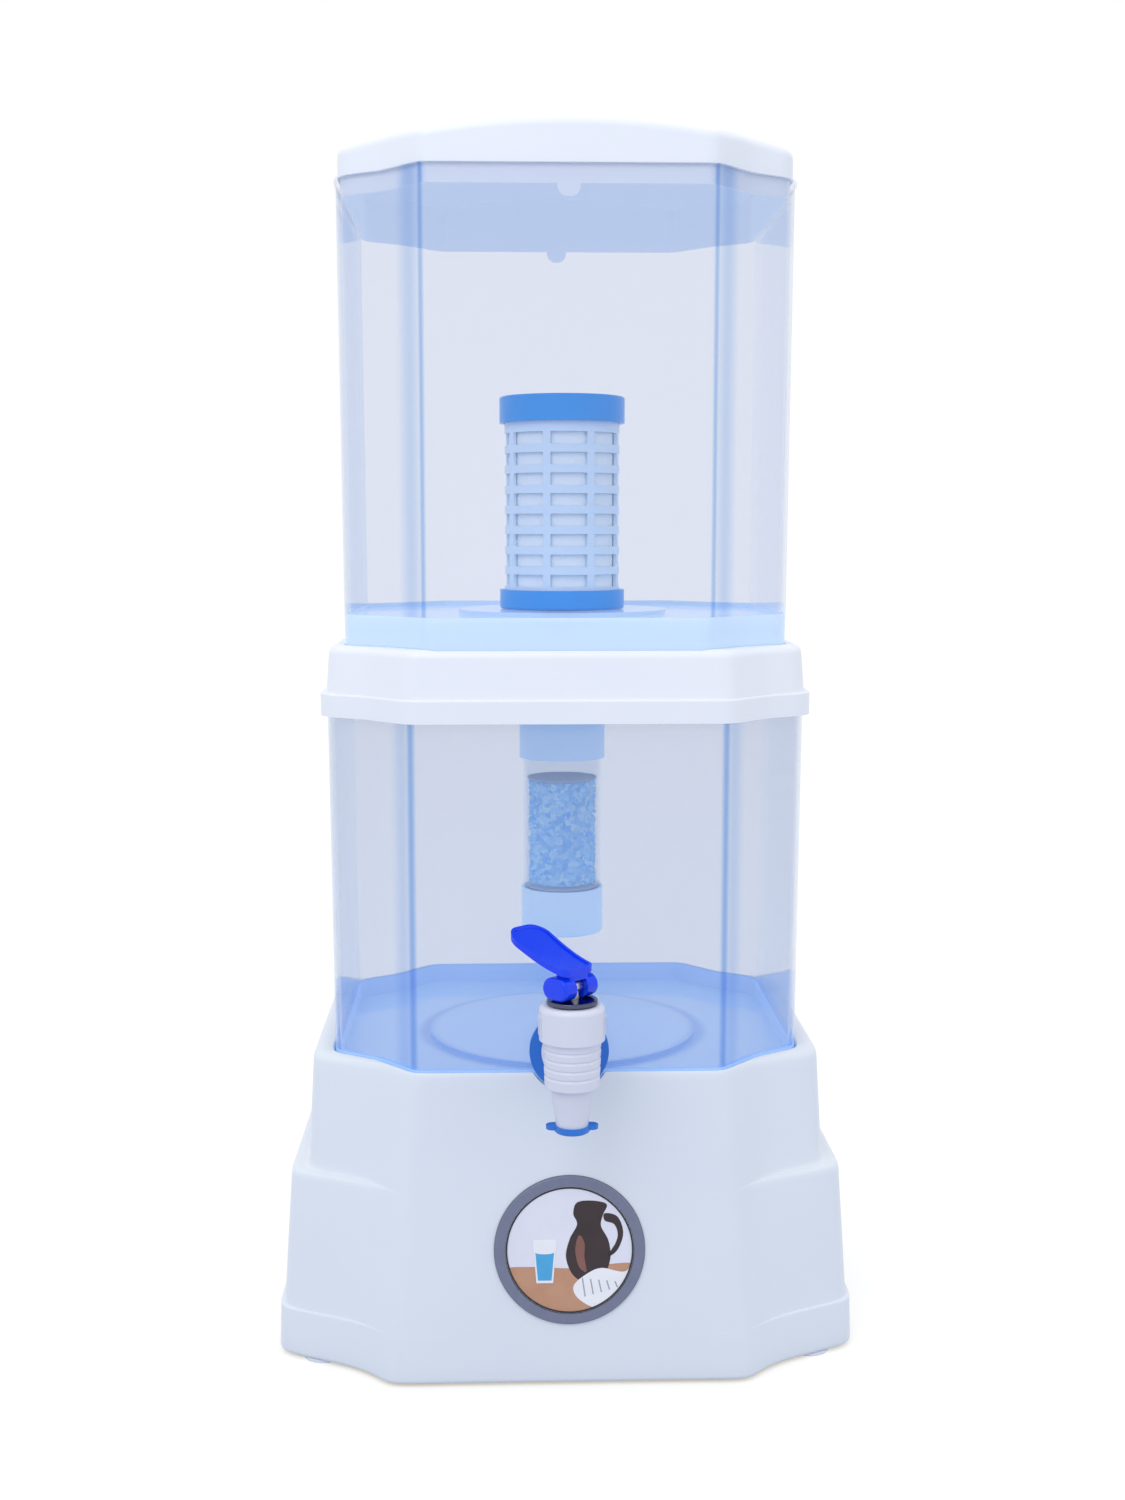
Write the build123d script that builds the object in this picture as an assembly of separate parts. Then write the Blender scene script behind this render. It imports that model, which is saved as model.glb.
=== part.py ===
from build123d import *
import os
from math import sqrt

os.makedirs("parts", exist_ok=True)

# Gravity water filter with a press tap. Millimetres, +Z up. The front, with the tap, faces -Y,
# and +X is to the right of it. Every piece is made with the tanks' middle on the Z axis, and
# moved as it is written so that the origin is on the floor under the middle of the whole.
# Raw water in the upper tank passes the sediment filter and the granule cartridge, and
# collects in the lower tank, which stands in a hollow moulded stand.

# Plan of the stand, tanks, cover and lid: flat panels front and back, a step back on each
# side of them, slanted shoulders and straight sides.
STEP_RUN = 22.0  # how far the step spreads sideways
STEP_DEPTH = 25.5  # how far the step goes back
SHOULDER_DEPTH = 42.0  # from the panel back to the side corner
PANEL_CORNER_RADIUS = 12.0
STEP_CORNER_RADIUS = 40.0
SIDE_CORNER_RADIUS = 20.0

# Lower tank
LOWER_TANK_WIDTH = 264.0  # over the walls at the rim
LOWER_TANK_DEPTH = 241.0
LOWER_TANK_PANEL = 168.0  # width of the front panel at the rim
LOWER_TANK_HEIGHT = 212.5
LOWER_TANK_SIDE_DRAFT = 1.7  # each side is this much narrower at the floor
TANK_WALL = 2.5
TANK_FLOOR = 3.0
FLOOR_RING_DIAMETER = 160.0  # pressed round field in the lower tank's floor
FLOOR_RING_STEP = 2.0

# Stand
STAND_HEIGHT = 171.5
POCKET_DEPTH = 13.5  # how deep the lower tank sits in the stand
POCKET_GAP = 0.6
STAND_WALL = 3.0
STAND_FRONT_RIM = 3.4  # rim in front of and behind the tank
STAND_SIDE_RIM = 10.0  # rim at the tank's sides
STAND_FRONT_SPREAD = 12.0  # how much further out the front panel is at the floor
STAND_PANEL_SPREAD = 14.0  # how much wider each half of the panel is at the floor
TREAD_HEIGHT = 105.5  # the upper tier stands on this tread
TREAD_WIDTH = 9.6
PLINTH_HEIGHT = 28.0
PLINTH_LEDGE = 2.3
UPPER_TIER_SPREAD = 3.4
LOWER_TIER_SPREAD = 4.6
PLINTH_SPREAD = 0.6
SHOULDER_SLOPE = 0.47  # shoulders of the stand: depth lost for each millimetre outwards
STAND_CORNER_RADIUS = 20.0
STAND_EDGE_RADIUS = 5.0

# Rubber feet under the stand's corners
FOOT_PROUD = 1.5
FOOT_RADIUS = 11.0
FOOT_INSET = 26.0  # from the plinth's side to the middle of a foot
FOOT_STUD_RADIUS = 3.9
FOOT_STUD_GAP = 0.1
FOOT_STUD_LENGTH = 5.0
CORNER_PLATE = 3.0  # thickness of the plates that carry the feet
CORNER_PLATE_SIZE = 46.0

# Round badge on the stand's front panel
BADGE_HEIGHT = 75.0
BADGE_DIAMETER = 81.6
BADGE_INNER_DIAMETER = 70.0
BADGE_THICKNESS = 2.6
BADGE_SINK = 1.0  # depth of its seat in the panel
BADGE_PLATE_THICKNESS = 1.6
BADGE_GAP = 0.2

# Cover between the tanks
COVER_FLANGE_DROP = 10.4  # how far the flange reaches down over the lower tank's rim
COVER_FLANGE_TOP = 2.4  # thickness above the rim
COVER_FLANGE_WALL = 3.4
COVER_FIT = 0.4
COVER_FRONT_PROUD = 2.2  # body over the lower tank's front and back walls, at the flange
COVER_SIDE_PROUD = 0.3  # and over its sides
COVER_BODY_DRAFT = 1.9  # how much each side of the body draws in towards its top
COVER_WALL = 6.4
COVER_DECK = 3.0
COVER_DECK_RISE = 20.0  # deck above the lower tank's rim
COVER_RIM_DEPTH = 8.4  # rim above the deck
COVER_EDGE_RADIUS = 5.0
COVER_HOLE_GAP = 12.0  # around the cartridge

# Upper tank
UPPER_TANK_WIDTH = 247.0
UPPER_TANK_DEPTH = 239.0
UPPER_TANK_PANEL = 152.0
UPPER_TANK_HEIGHT = 257.0
UPPER_TANK_DRAFT = 1.6  # each wall is this much further in at the bottom
UPPER_TANK_SKIRT = 19.5  # wall below the floor
UPPER_TANK_BEAD = 0.9
UPPER_TANK_BEAD_HEIGHT = 3.0
UPPER_TANK_FIT = 0.6
FILTER_SEAT_DIAMETER = 122.0  # pressed round field that the filter stands on
FILTER_SEAT_STEP = 2.5

# Lid
LID_INSET = 1.1  # lid wall inside the tank's outer wall
LID_WALL = 4.0
LID_TOP = 2.5
LID_SKIRT_DROP = 9.8
LID_SKIRT_WALL = 2.0
LID_SKIRT_GAP = 0.6
LID_DOME_HEIGHT = 37.5  # middle of the dome above the tank's rim
LID_DOME_RADIUS_SIDE = 450.0  # curvature seen from the front
LID_DOME_RADIUS_FRONT = 520.0  # curvature seen from the side
LID_EDGE_RADIUS = 6.0
LID_TAB_WIDTH = 12.0
LID_TAB_DROP = 6.6

# Sediment filter
FILTER_CAP_RADIUS = 36.5
FILTER_BASE_CAP_HEIGHT = 11.0
FILTER_TOP_CAP_HEIGHT = 15.0
FILTER_CAP_WALL = 2.4
FILTER_CAP_FLOOR = 3.0
FILTER_CAGE_RADIUS = 33.5
FILTER_CAGE_WALL = 2.0
FILTER_CAGE_HEIGHT = 113.2
FILTER_CAGE_LOW_BAND = 2.0  # plain bands next to the caps
FILTER_CAGE_TOP_BAND = 6.0
FILTER_ROWS = 8
FILTER_COLUMNS = 8
FILTER_ROW_BAR = 4.5
FILTER_COLUMN_BAR = 4.2
FILTER_FIRST_BAR_ANGLE = -107.0  # one upright bar stands here, seen from above
FILTER_CORE_RADIUS = 30.9
FILTER_TUBE_RADIUS = 12.0
FILTER_TUBE_WALL = 1.8
FILTER_TUBE_HOLE_RADIUS = 2.2
FILTER_FIT = 0.4
FILTER_SEAL_THICKNESS = 1.5
FILTER_SEAL_WIDTH = 8.0

# Outlet stud, seal and wing nut that clamp the filter to the floor
STUD_RADIUS = 9.0
STUD_BORE_RADIUS = 5.5
STUD_GAP = 0.35
STUD_END = 18.0  # below the nut
OUTLET_SEAL_THICKNESS = 2.0
OUTLET_NUT_THICKNESS = 8.0
OUTLET_NUT_RADIUS = 15.5
OUTLET_NUT_WING = 7.0

# Granule cartridge, screwed to the stud
CARTRIDGE_COLLAR_RADIUS = 25.3
CARTRIDGE_COLLAR_LENGTH = 73.0
CARTRIDGE_RADIUS = 22.8
CARTRIDGE_WALL = 1.5
CARTRIDGE_LENGTH = 154.0  # tube, from inside the collar to inside the foot
CARTRIDGE_TOP_GAP = 2.0  # between collar and wing nut
CARTRIDGE_SOCKET_DEPTH = 16.0
CARTRIDGE_SEAL_THICKNESS = 2.0
CARTRIDGE_FOOT_RADIUS = 24.3
CARTRIDGE_FOOT_HEIGHT = 27.0
CARTRIDGE_FOOT_FLOOR = 3.0
CARTRIDGE_FIT = 0.15
CARTRIDGE_SCREEN = 1.2
GRANULE_BED = 64.0
GRANULE_BED_BASE = 28.0  # above the foot's underside

# Tap
TAP_HEIGHT = 22.1  # middle of the shank above the lower tank's floor
TAP_REACH = 46.0  # spout axis in front of the tank wall
TAP_SHANK_RADIUS = 8.0
TAP_SHANK_BORE = 5.0
TAP_SHANK_GAP = 0.3
TAP_SHANK_INSIDE = 18.0  # length inside the tank
TAP_FLANGE_RADIUS = 15.0
TAP_FLANGE_THICKNESS = 3.0
TAP_NECK_RADIUS = 9.0
TAP_WASHER_RADIUS = 21.4
TAP_WASHER_THICKNESS = 3.0
TAP_WASHER_NOTCH_GAP = 1.3  # between the washer and the stand's rim
TAP_INNER_WASHER_RADIUS = 13.0
TAP_INNER_WASHER_THICKNESS = 2.5
TAP_NUT_WIDTH = 24.0  # across flats
TAP_NUT_THICKNESS = 8.0
TAP_BODY_RADIUS = 15.1  # at the top
TAP_BODY_TAPER = 0.9  # how much less the radius is at the bottom
TAP_BODY_BELOW = 6.1  # body below and above the shank's middle
TAP_BODY_ABOVE = 19.4
TAP_RING_COUNT = 4
TAP_RING_DEPTH = 0.5
TAP_RING_PITCH = 4.7
TAP_CHAMBER_RADIUS = 9.5
TAP_SEAT_BELOW = 6.5  # valve seat below the shank's middle
TAP_SPOUT_TOP_RADIUS = 11.2
TAP_SPOUT_END_RADIUS = 8.3
TAP_SPOUT_LENGTH = 21.0
TAP_SPOUT_BORE = 6.0
TAP_THREAD_RADIUS = 13.3
TAP_THREAD_LENGTH = 11.0
SPOUT_RING_HEIGHT = 3.9
SPOUT_RING_OVERLAP = 1.1  # how far it reaches up around the spout's end
SPOUT_RING_WALL = 1.3
SPOUT_WING_SPAN = 27.0
SPOUT_WING_WIDTH = 7.5
SPOUT_WING_THICKNESS = 2.0

# Bonnet, turning ring, stem and lever of the tap
BONNET_RADIUS = 17.0
BONNET_HEIGHT = 18.2
BONNET_TOP = 5.0
BONNET_EDGE_RADIUS = 3.0
BONNET_THREAD_GAP = 0.3
BONNET_SPIGOT_RADIUS = 7.0
BONNET_SPIGOT_HEIGHT = 1.3
BONNET_RIB_COUNT = 6
BONNET_RIB_PITCH = 8.0  # degrees
BONNET_RIB_WIDTH = 1.2
BONNET_RIB_PROUD = 0.5
SWIVEL_RING_RADIUS = 13.2
SWIVEL_RING_HEIGHT = 2.6
SWIVEL_GAP = 0.3
SWIVEL_BEARING_GAP = 0.05
STEM_RADIUS = 3.7
STEM_GAP = 0.35
STEM_HEAD_RADIUS = 4.0
PLUG_RADIUS = 8.3
PLUG_THICKNESS = 4.0
PLUG_NECK_RADIUS = 6.0
PLUG_NECK_HEIGHT = 7.0
SPRING_RADIUS = 6.3
SPRING_WIRE_RADIUS = 0.5
SPRING_TURNS = 6
SPRING_END_GAP = 0.3
LEVER_TURN = 135.0  # degrees from +X to the way the lever points at rest
LEVER_PRESS = 28.0  # degrees
LEVER_CAM_RADIUS = 6.0
LEVER_CAM_OFFSET = 3.8  # the cams' low points: this far towards the paddle
LEVER_CAM_BACK = 1.5  # and this far behind the pin
LEVER_CAM_GAP = 0.3
LEVER_FORK_WIDTH = 25.0
LEVER_SLOT_GAP = 0.4
LEVER_PIN_RADIUS = 1.5
LEVER_PIN_GAP = 0.05
LEVER_REACH = 36.5
LEVER_RISE = 26.5
LEVER_NECK_HEIGHT = 10.5  # top of the paddle's root above the pin
LEVER_NECK_LENGTH = 11.5
LEVER_NECK_WIDTH = 14.0
LEVER_PADDLE_WIDTH = 27.0
LEVER_PADDLE_ROOT_WIDTH = 22.0
LEVER_TIP_RADIUS = 9.0
LEVER_PADDLE_THICKNESS = 3.4
LEVER_ROOT_SLOPE = 0.15
LEVER_TIP_SLOPE = 0.45
LEVER_DISH_DEPTH = 0.8
LEVER_DISH_RIM = 1.8

# Heights and places worked out from the sizes above
LOWER_TANK_Z = STAND_HEIGHT - POCKET_DEPTH
LOWER_RIM_Z = LOWER_TANK_Z + LOWER_TANK_HEIGHT
DECK_Z = LOWER_RIM_Z + COVER_DECK_RISE
UPPER_RIM_Z = DECK_Z + UPPER_TANK_HEIGHT
UPPER_FLOOR_Z = DECK_Z + UPPER_TANK_SKIRT + TANK_FLOOR
FILTER_SEAT_Z = UPPER_FLOOR_Z + FILTER_SEAT_STEP
FILTER_Z = FILTER_SEAT_Z + FILTER_FIT
CAGE_Z = FILTER_Z + FILTER_BASE_CAP_HEIGHT - 2 * FILTER_CAP_WALL
CAGE_TOP_Z = CAGE_Z + FILTER_CAGE_HEIGHT
TOP_CAP_Z = CAGE_TOP_Z + FILTER_FIT + FILTER_CAP_WALL - FILTER_TOP_CAP_HEIGHT
OUTLET_SEAL_Z = UPPER_FLOOR_Z - TANK_FLOOR + FILTER_SEAT_STEP - OUTLET_SEAL_THICKNESS
OUTLET_NUT_Z = OUTLET_SEAL_Z - OUTLET_NUT_THICKNESS
COLLAR_TOP_Z = OUTLET_NUT_Z - CARTRIDGE_TOP_GAP
SOCKET_FLOOR_Z = COLLAR_TOP_Z - CARTRIDGE_SOCKET_DEPTH - CARTRIDGE_SEAL_THICKNESS
TUBE_TOP_Z = SOCKET_FLOOR_Z - CARTRIDGE_FOOT_FLOOR
TUBE_Z = TUBE_TOP_Z - CARTRIDGE_LENGTH
FOOT_Z = TUBE_Z - CARTRIDGE_FOOT_FLOOR
WALL_Y = -LOWER_TANK_DEPTH / 2
TAP_Y = WALL_Y - TAP_REACH
TAP_Z = LOWER_TANK_Z + TANK_FLOOR + TAP_HEIGHT
BODY_TOP_Z = TAP_Z + TAP_BODY_ABOVE
SPOUT_TOP_Z = TAP_Z - TAP_BODY_BELOW
SPOUT_END_Z = SPOUT_TOP_Z - TAP_SPOUT_LENGTH
VALVE_SEAT_Z = TAP_Z - TAP_SEAT_BELOW
BONNET_TOP_Z = BODY_TOP_Z + BONNET_HEIGHT
RING_TOP_Z = BONNET_TOP_Z + SWIVEL_GAP + SWIVEL_RING_HEIGHT
PIN_Z = RING_TOP_Z + LEVER_CAM_GAP + LEVER_CAM_RADIUS


def plan(half_width, half_depth, panel_half, gap=0.0):
    """Rounded outline of a tank or cover, grown outwards by gap."""
    step_x = panel_half + STEP_RUN
    quarter = [
        (panel_half, half_depth),
        (step_x, half_depth - STEP_DEPTH),
        (half_width, half_depth - SHOULDER_DEPTH),
    ]
    right = quarter + [(x, -y) for x, y in reversed(quarter)]
    left = [(-x, y) for x, y in reversed(right)]
    face = make_face(Polyline(*right, *left, close=True))
    corners = [
        (panel_half, PANEL_CORNER_RADIUS),
        (step_x, STEP_CORNER_RADIUS),
        (half_width, SIDE_CORNER_RADIUS),
    ]
    for x, radius in corners:
        face = fillet([v for v in face.vertices() if abs(abs(v.X) - x) < 1e-6], radius)
    return offset(face, gap) if gap else face


def walls(low, high, sizes, gap=0.0):
    """Solid between two heights whose outline at height z is plan(*sizes(z))."""
    sections = [Pos(0, 0, z) * plan(*sizes(z), gap) for z in (low, high)]
    return loft(sections, ruled=True)


def rod(radius, low, high):
    """Upright round bar about the Z axis."""
    bar = Cylinder(radius, high - low, align=(Align.CENTER, Align.CENTER, Align.MIN))
    return Pos(0, 0, low) * bar


def tube(radius, inner, low, high):
    """Upright tube about the Z axis."""
    return rod(radius, low, high) - rod(inner, low, high)


def turned(points):
    """Solid turned about the Z axis from its outline in radius and height."""
    outline = make_face(Polyline(*[(radius, 0, z) for radius, z in points], close=True))
    return revolve(outline, Axis.Z, 360)


def bar_along_y(radius, start, end, height):
    """Round bar parallel to the Y axis, from start to end."""
    bar = Cylinder(radius, end - start, align=(Align.CENTER, Align.CENTER, Align.MIN))
    return Pos(0, start, height) * Rot(-90, 0, 0) * bar


def lower_tank_plan(z):
    """Half width, half depth and half panel of the lower tank's outside."""
    inward = LOWER_TANK_SIDE_DRAFT * (LOWER_RIM_Z - z) / LOWER_TANK_HEIGHT
    return LOWER_TANK_WIDTH / 2 - inward, LOWER_TANK_DEPTH / 2, LOWER_TANK_PANEL / 2 - inward


def upper_tank_plan(z):
    """Half width, half depth and half panel of the upper tank's outside."""
    inward = UPPER_TANK_DRAFT * (UPPER_RIM_Z - z) / UPPER_TANK_HEIGHT
    half_sizes = (UPPER_TANK_WIDTH / 2, UPPER_TANK_DEPTH / 2, UPPER_TANK_PANEL / 2)
    return tuple(size - inward for size in half_sizes)


def cover_plan(z):
    """Half width, half depth and half panel of the cover's body above its flange."""
    rise = COVER_DECK_RISE + COVER_RIM_DEPTH - COVER_FLANGE_TOP
    inward = COVER_BODY_DRAFT * (z - LOWER_RIM_Z - COVER_FLANGE_TOP) / rise
    half_width, half_depth, panel_half = lower_tank_plan(LOWER_RIM_Z)
    front = COVER_FRONT_PROUD - inward
    return half_width + COVER_SIDE_PROUD - inward, half_depth + front, panel_half + front


def stand_depth(z):
    """Half depth of the stand's front panel at height z."""
    top = LOWER_TANK_DEPTH / 2 + POCKET_GAP + STAND_FRONT_RIM
    return top + STAND_FRONT_SPREAD * (1 - z / STAND_HEIGHT)


def stand_tier(low, high, half_widths, inset, edge_radius):
    """One tier of the stand: straight sides, slanted shoulders, drawn in by inset."""
    sections = []
    for z, half_width in zip((low, high), half_widths):
        side_y = stand_depth(z) - SHOULDER_DEPTH
        run = half_width - LOWER_TANK_PANEL / 2
        shoulder = (half_width - run, side_y + run * SHOULDER_SLOPE)
        right = [shoulder, (half_width, side_y), (half_width, -side_y), (shoulder[0], -shoulder[1])]
        sections.append(Pos(0, 0, z) * mirrored_outline(right, inset))
    tier = loft(sections, ruled=True)
    limit = min(half_widths) - inset - 1.0
    corners = [e for e in tier.edges() if abs((e @ 0).Z - (e @ 1).Z) > 0.5 and abs((e @ 0.5).X) > limit]
    tier = fillet(corners, STAND_CORNER_RADIUS - inset)
    return soften_top(tier, edge_radius)


def mirrored_outline(right, inset):
    """Face whose right half is given, drawn in by inset."""
    left = [(-x, y) for x, y in reversed(right)]
    face = make_face(Polyline(*right, *left, close=True))
    return offset(face, -inset, kind=Kind.INTERSECTION) if inset else face


def soften_top(solid, radius):
    """Rounds the edge around the top face."""
    if radius == 0:
        return solid
    return fillet(solid.faces().sort_by(Axis.Z)[-1].outer_wire().edges(), radius)


def stand_panels(low, high, inset, edge_radius):
    """Front and back panels of the stand with their slanted side walls, as one block."""
    sections = []
    for z in (low, high):
        half_depth = stand_depth(z)
        panel_half = LOWER_TANK_PANEL / 2 + STAND_PANEL_SPREAD * (1 - z / STAND_HEIGHT)
        side = (panel_half + 2 * STEP_RUN, half_depth - 2 * STEP_DEPTH)
        right = [(panel_half, half_depth), side, (side[0], -side[1]), (panel_half, -half_depth)]
        sections.append(Pos(0, 0, z) * mirrored_outline(right, inset))
    block = loft(sections, ruled=True)
    limit = stand_depth(high) - STEP_DEPTH
    corners = [e for e in block.edges() if abs((e @ 0).Z - (e @ 1).Z) > 0.5 and abs((e @ 0.5).Y) > limit]
    block = fillet(corners, PANEL_CORNER_RADIUS)
    return soften_top(block, edge_radius)


def stand_half_widths():
    """Half widths of the stand's three tiers, as (low, high) pairs from the floor up."""
    top = LOWER_TANK_WIDTH / 2 + POCKET_GAP + STAND_SIDE_RIM
    upper = (top + UPPER_TIER_SPREAD, top)
    middle_top = upper[0] + TREAD_WIDTH
    middle = (middle_top + LOWER_TIER_SPREAD, middle_top)
    plinth_top = middle[0] + PLINTH_LEDGE
    return [(plinth_top + PLINTH_SPREAD, plinth_top), middle, upper]


def stand_shape(inset, low, top, edge_radius):
    """The stand's three tiers and its panels as one solid."""
    levels = [low, PLINTH_HEIGHT - inset, TREAD_HEIGHT - inset, top]
    shape = stand_panels(low, top, inset, edge_radius)
    radii = [min(edge_radius, PLINTH_LEDGE - 0.5), edge_radius, edge_radius]
    for z_low, z_high, half_widths, radius in zip(levels, levels[1:], stand_half_widths(), radii):
        shape += stand_tier(z_low, z_high, half_widths, inset, radius)
    return shape


def base_stand():
    outer = stand_shape(0, FOOT_PROUD, STAND_HEIGHT, STAND_EDGE_RADIUS)
    cavity = stand_shape(STAND_WALL, FOOT_PROUD, STAND_HEIGHT - STAND_WALL, 0)
    floor_z = LOWER_TANK_Z - STAND_WALL
    cavity -= walls(floor_z, STAND_HEIGHT, lower_tank_plan, POCKET_GAP + STAND_WALL)
    shell = outer - cavity
    plates = Pos(0, 0, FOOT_PROUD) * corner_boxes(CORNER_PLATE)
    shell += outer & plates
    shell -= walls(LOWER_TANK_Z, STAND_HEIGHT + 1, lower_tank_plan, POCKET_GAP)
    notch_radius = TAP_WASHER_RADIUS + TAP_WASHER_NOTCH_GAP
    shell -= bar_along_y(notch_radius, -stand_depth(0), WALL_Y, TAP_Z)
    for x, y in foot_places():
        shell -= Pos(x, y, 0) * rod(FOOT_STUD_RADIUS + FOOT_STUD_GAP, 0, FOOT_STUD_LENGTH)
    shell -= badge_frame() * rod(BADGE_DIAMETER / 2 + BADGE_GAP, -BADGE_SINK, BADGE_THICKNESS)
    return shell


def corner_boxes(thickness):
    """Four square plates over the stand's corners, their undersides at the origin's height."""
    low_half_width = stand_half_widths()[0][0]
    plates = []
    for x_sign in (-1, 1):
        for y_sign in (-1, 1):
            x = x_sign * low_half_width
            y = y_sign * (stand_depth(0) - SHOULDER_DEPTH)
            plate = Box(2 * CORNER_PLATE_SIZE, CORNER_PLATE_SIZE, thickness)
            plates.append(Pos(x, y, thickness / 2) * plate)
    return Compound(plates)


def foot_places():
    """Middles of the four feet."""
    x = stand_half_widths()[0][0] - FOOT_INSET
    y = stand_depth(0) - SHOULDER_DEPTH
    return [(sx * x, sy * y) for sx in (-1, 1) for sy in (-1, 1)]


def base_feet():
    """Four rubber feet, each with a stud pushed into its corner plate."""
    foot = rod(FOOT_RADIUS, 0, FOOT_PROUD) + rod(FOOT_STUD_RADIUS, 0, FOOT_STUD_LENGTH)
    return Compound([Pos(x, y, 0) * foot for x, y in foot_places()])


def badge_frame():
    """Place of the badge: on the front panel, its Z axis pointing out of the panel."""
    slope = STAND_FRONT_SPREAD / STAND_HEIGHT
    place = Plane(
        origin=(0, -stand_depth(BADGE_HEIGHT), BADGE_HEIGHT),
        x_dir=(1, 0, 0),
        z_dir=(0, -1, slope),
    )
    return place.location


def badge_ring():
    ring = tube(BADGE_DIAMETER / 2, BADGE_INNER_DIAMETER / 2, -BADGE_SINK, BADGE_THICKNESS - BADGE_SINK)
    outer_edge = ring.edges().filter_by(GeomType.CIRCLE).sort_by(Axis.Z)[-2:].sort_by(SortBy.RADIUS)[-1]
    return badge_frame() * fillet(outer_edge, BADGE_SINK)


def badge_plate():
    radius = BADGE_INNER_DIAMETER / 2 - BADGE_GAP
    return badge_frame() * rod(radius, -BADGE_SINK, BADGE_PLATE_THICKNESS - BADGE_SINK)


def lower_tank():
    tank = walls(LOWER_TANK_Z, LOWER_RIM_Z, lower_tank_plan)
    floor_z = LOWER_TANK_Z + TANK_FLOOR
    tank -= walls(floor_z, LOWER_RIM_Z + 1, lower_tank_plan, -TANK_WALL)
    ring_radius = FLOOR_RING_DIAMETER / 2
    tank += rod(ring_radius, floor_z, floor_z + FLOOR_RING_STEP)
    tank -= rod(ring_radius - TANK_WALL, LOWER_TANK_Z, LOWER_TANK_Z + FLOOR_RING_STEP)
    hole = bar_along_y(TAP_SHANK_RADIUS + TAP_SHANK_GAP, WALL_Y - 1, WALL_Y + TANK_WALL + 1, TAP_Z)
    return tank - hole


def mid_cover():
    """Cover of the lower tank, whose raised rim holds the upper tank's skirt."""
    flange_gap = COVER_FIT + COVER_FLANGE_WALL
    flange_top = LOWER_RIM_Z + COVER_FLANGE_TOP
    rim_z = DECK_Z + COVER_RIM_DEPTH
    flange = walls(LOWER_RIM_Z - COVER_FLANGE_DROP, flange_top, level_rim_plan, flange_gap)
    flange = fillet(flange.faces().sort_by(Axis.Z)[-1].outer_wire().edges(), COVER_FLANGE_TOP / 2)
    body = walls(LOWER_RIM_Z, rim_z, cover_plan)
    body = fillet(body.faces().sort_by(Axis.Z)[-1].outer_wire().edges(), COVER_EDGE_RADIUS)
    cover = flange + body
    cover -= walls(LOWER_RIM_Z - COVER_FLANGE_DROP, LOWER_RIM_Z, level_rim_plan, COVER_FIT)
    hollow_gap = COVER_FRONT_PROUD - COVER_WALL
    cover -= walls(LOWER_RIM_Z - 1, DECK_Z - COVER_DECK, level_rim_plan, hollow_gap)
    cover -= walls(DECK_Z, rim_z + 1, upper_tank_plan, UPPER_TANK_FIT)
    hole_radius = CARTRIDGE_COLLAR_RADIUS + COVER_HOLE_GAP
    return cover - rod(hole_radius, DECK_Z - COVER_DECK, DECK_Z)


def level_rim_plan(z):
    """Outline of the lower tank's rim, the same at every height z."""
    return lower_tank_plan(LOWER_RIM_Z)


def upper_tank():
    tank = walls(DECK_Z, UPPER_RIM_Z, upper_tank_plan)
    bead_z = UPPER_RIM_Z - UPPER_TANK_BEAD_HEIGHT
    tank += walls(bead_z, UPPER_RIM_Z, upper_tank_plan, UPPER_TANK_BEAD)
    under_floor = UPPER_FLOOR_Z - TANK_FLOOR
    tank -= walls(UPPER_FLOOR_Z, UPPER_RIM_Z + 1, upper_tank_plan, -TANK_WALL)
    tank -= walls(DECK_Z - 1, under_floor, upper_tank_plan, -TANK_WALL)
    seat_radius = FILTER_SEAT_DIAMETER / 2
    tank += rod(seat_radius, UPPER_FLOOR_Z, FILTER_SEAT_Z)
    tank -= rod(seat_radius - TANK_WALL, under_floor, under_floor + FILTER_SEAT_STEP)
    return tank - rod(STUD_RADIUS + STUD_GAP, under_floor, FILTER_SEAT_Z)


def dome(lowered):
    """Everything under the lid's crown, which curves less from side to side than front to back."""
    apex = UPPER_RIM_Z + LID_DOME_HEIGHT - lowered
    reach = UPPER_TANK_DEPTH / 2 + LID_EDGE_RADIUS
    edge_z = apex - LID_DOME_RADIUS_FRONT + sqrt(LID_DOME_RADIUS_FRONT**2 - reach**2)
    axis_z = apex - LID_DOME_RADIUS_SIDE
    crown = ThreePointArc((0, -reach, edge_z), (0, 0, apex), (0, reach, edge_z))
    sides = Polyline((0, reach, edge_z), (0, reach, axis_z), (0, -reach, axis_z), (0, -reach, edge_z))
    turn_axis = Axis((0, 0, axis_z), (0, 1, 0))
    # half a turn afterwards puts the seam of the turned surface away from the crown
    return revolve(make_face([crown, *sides.edges()]), turn_axis, 360).rotate(turn_axis, 180)


def level_lid_plan(z):
    """Outline of the upper tank's rim, the same at every height z."""
    return upper_tank_plan(UPPER_RIM_Z)


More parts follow.
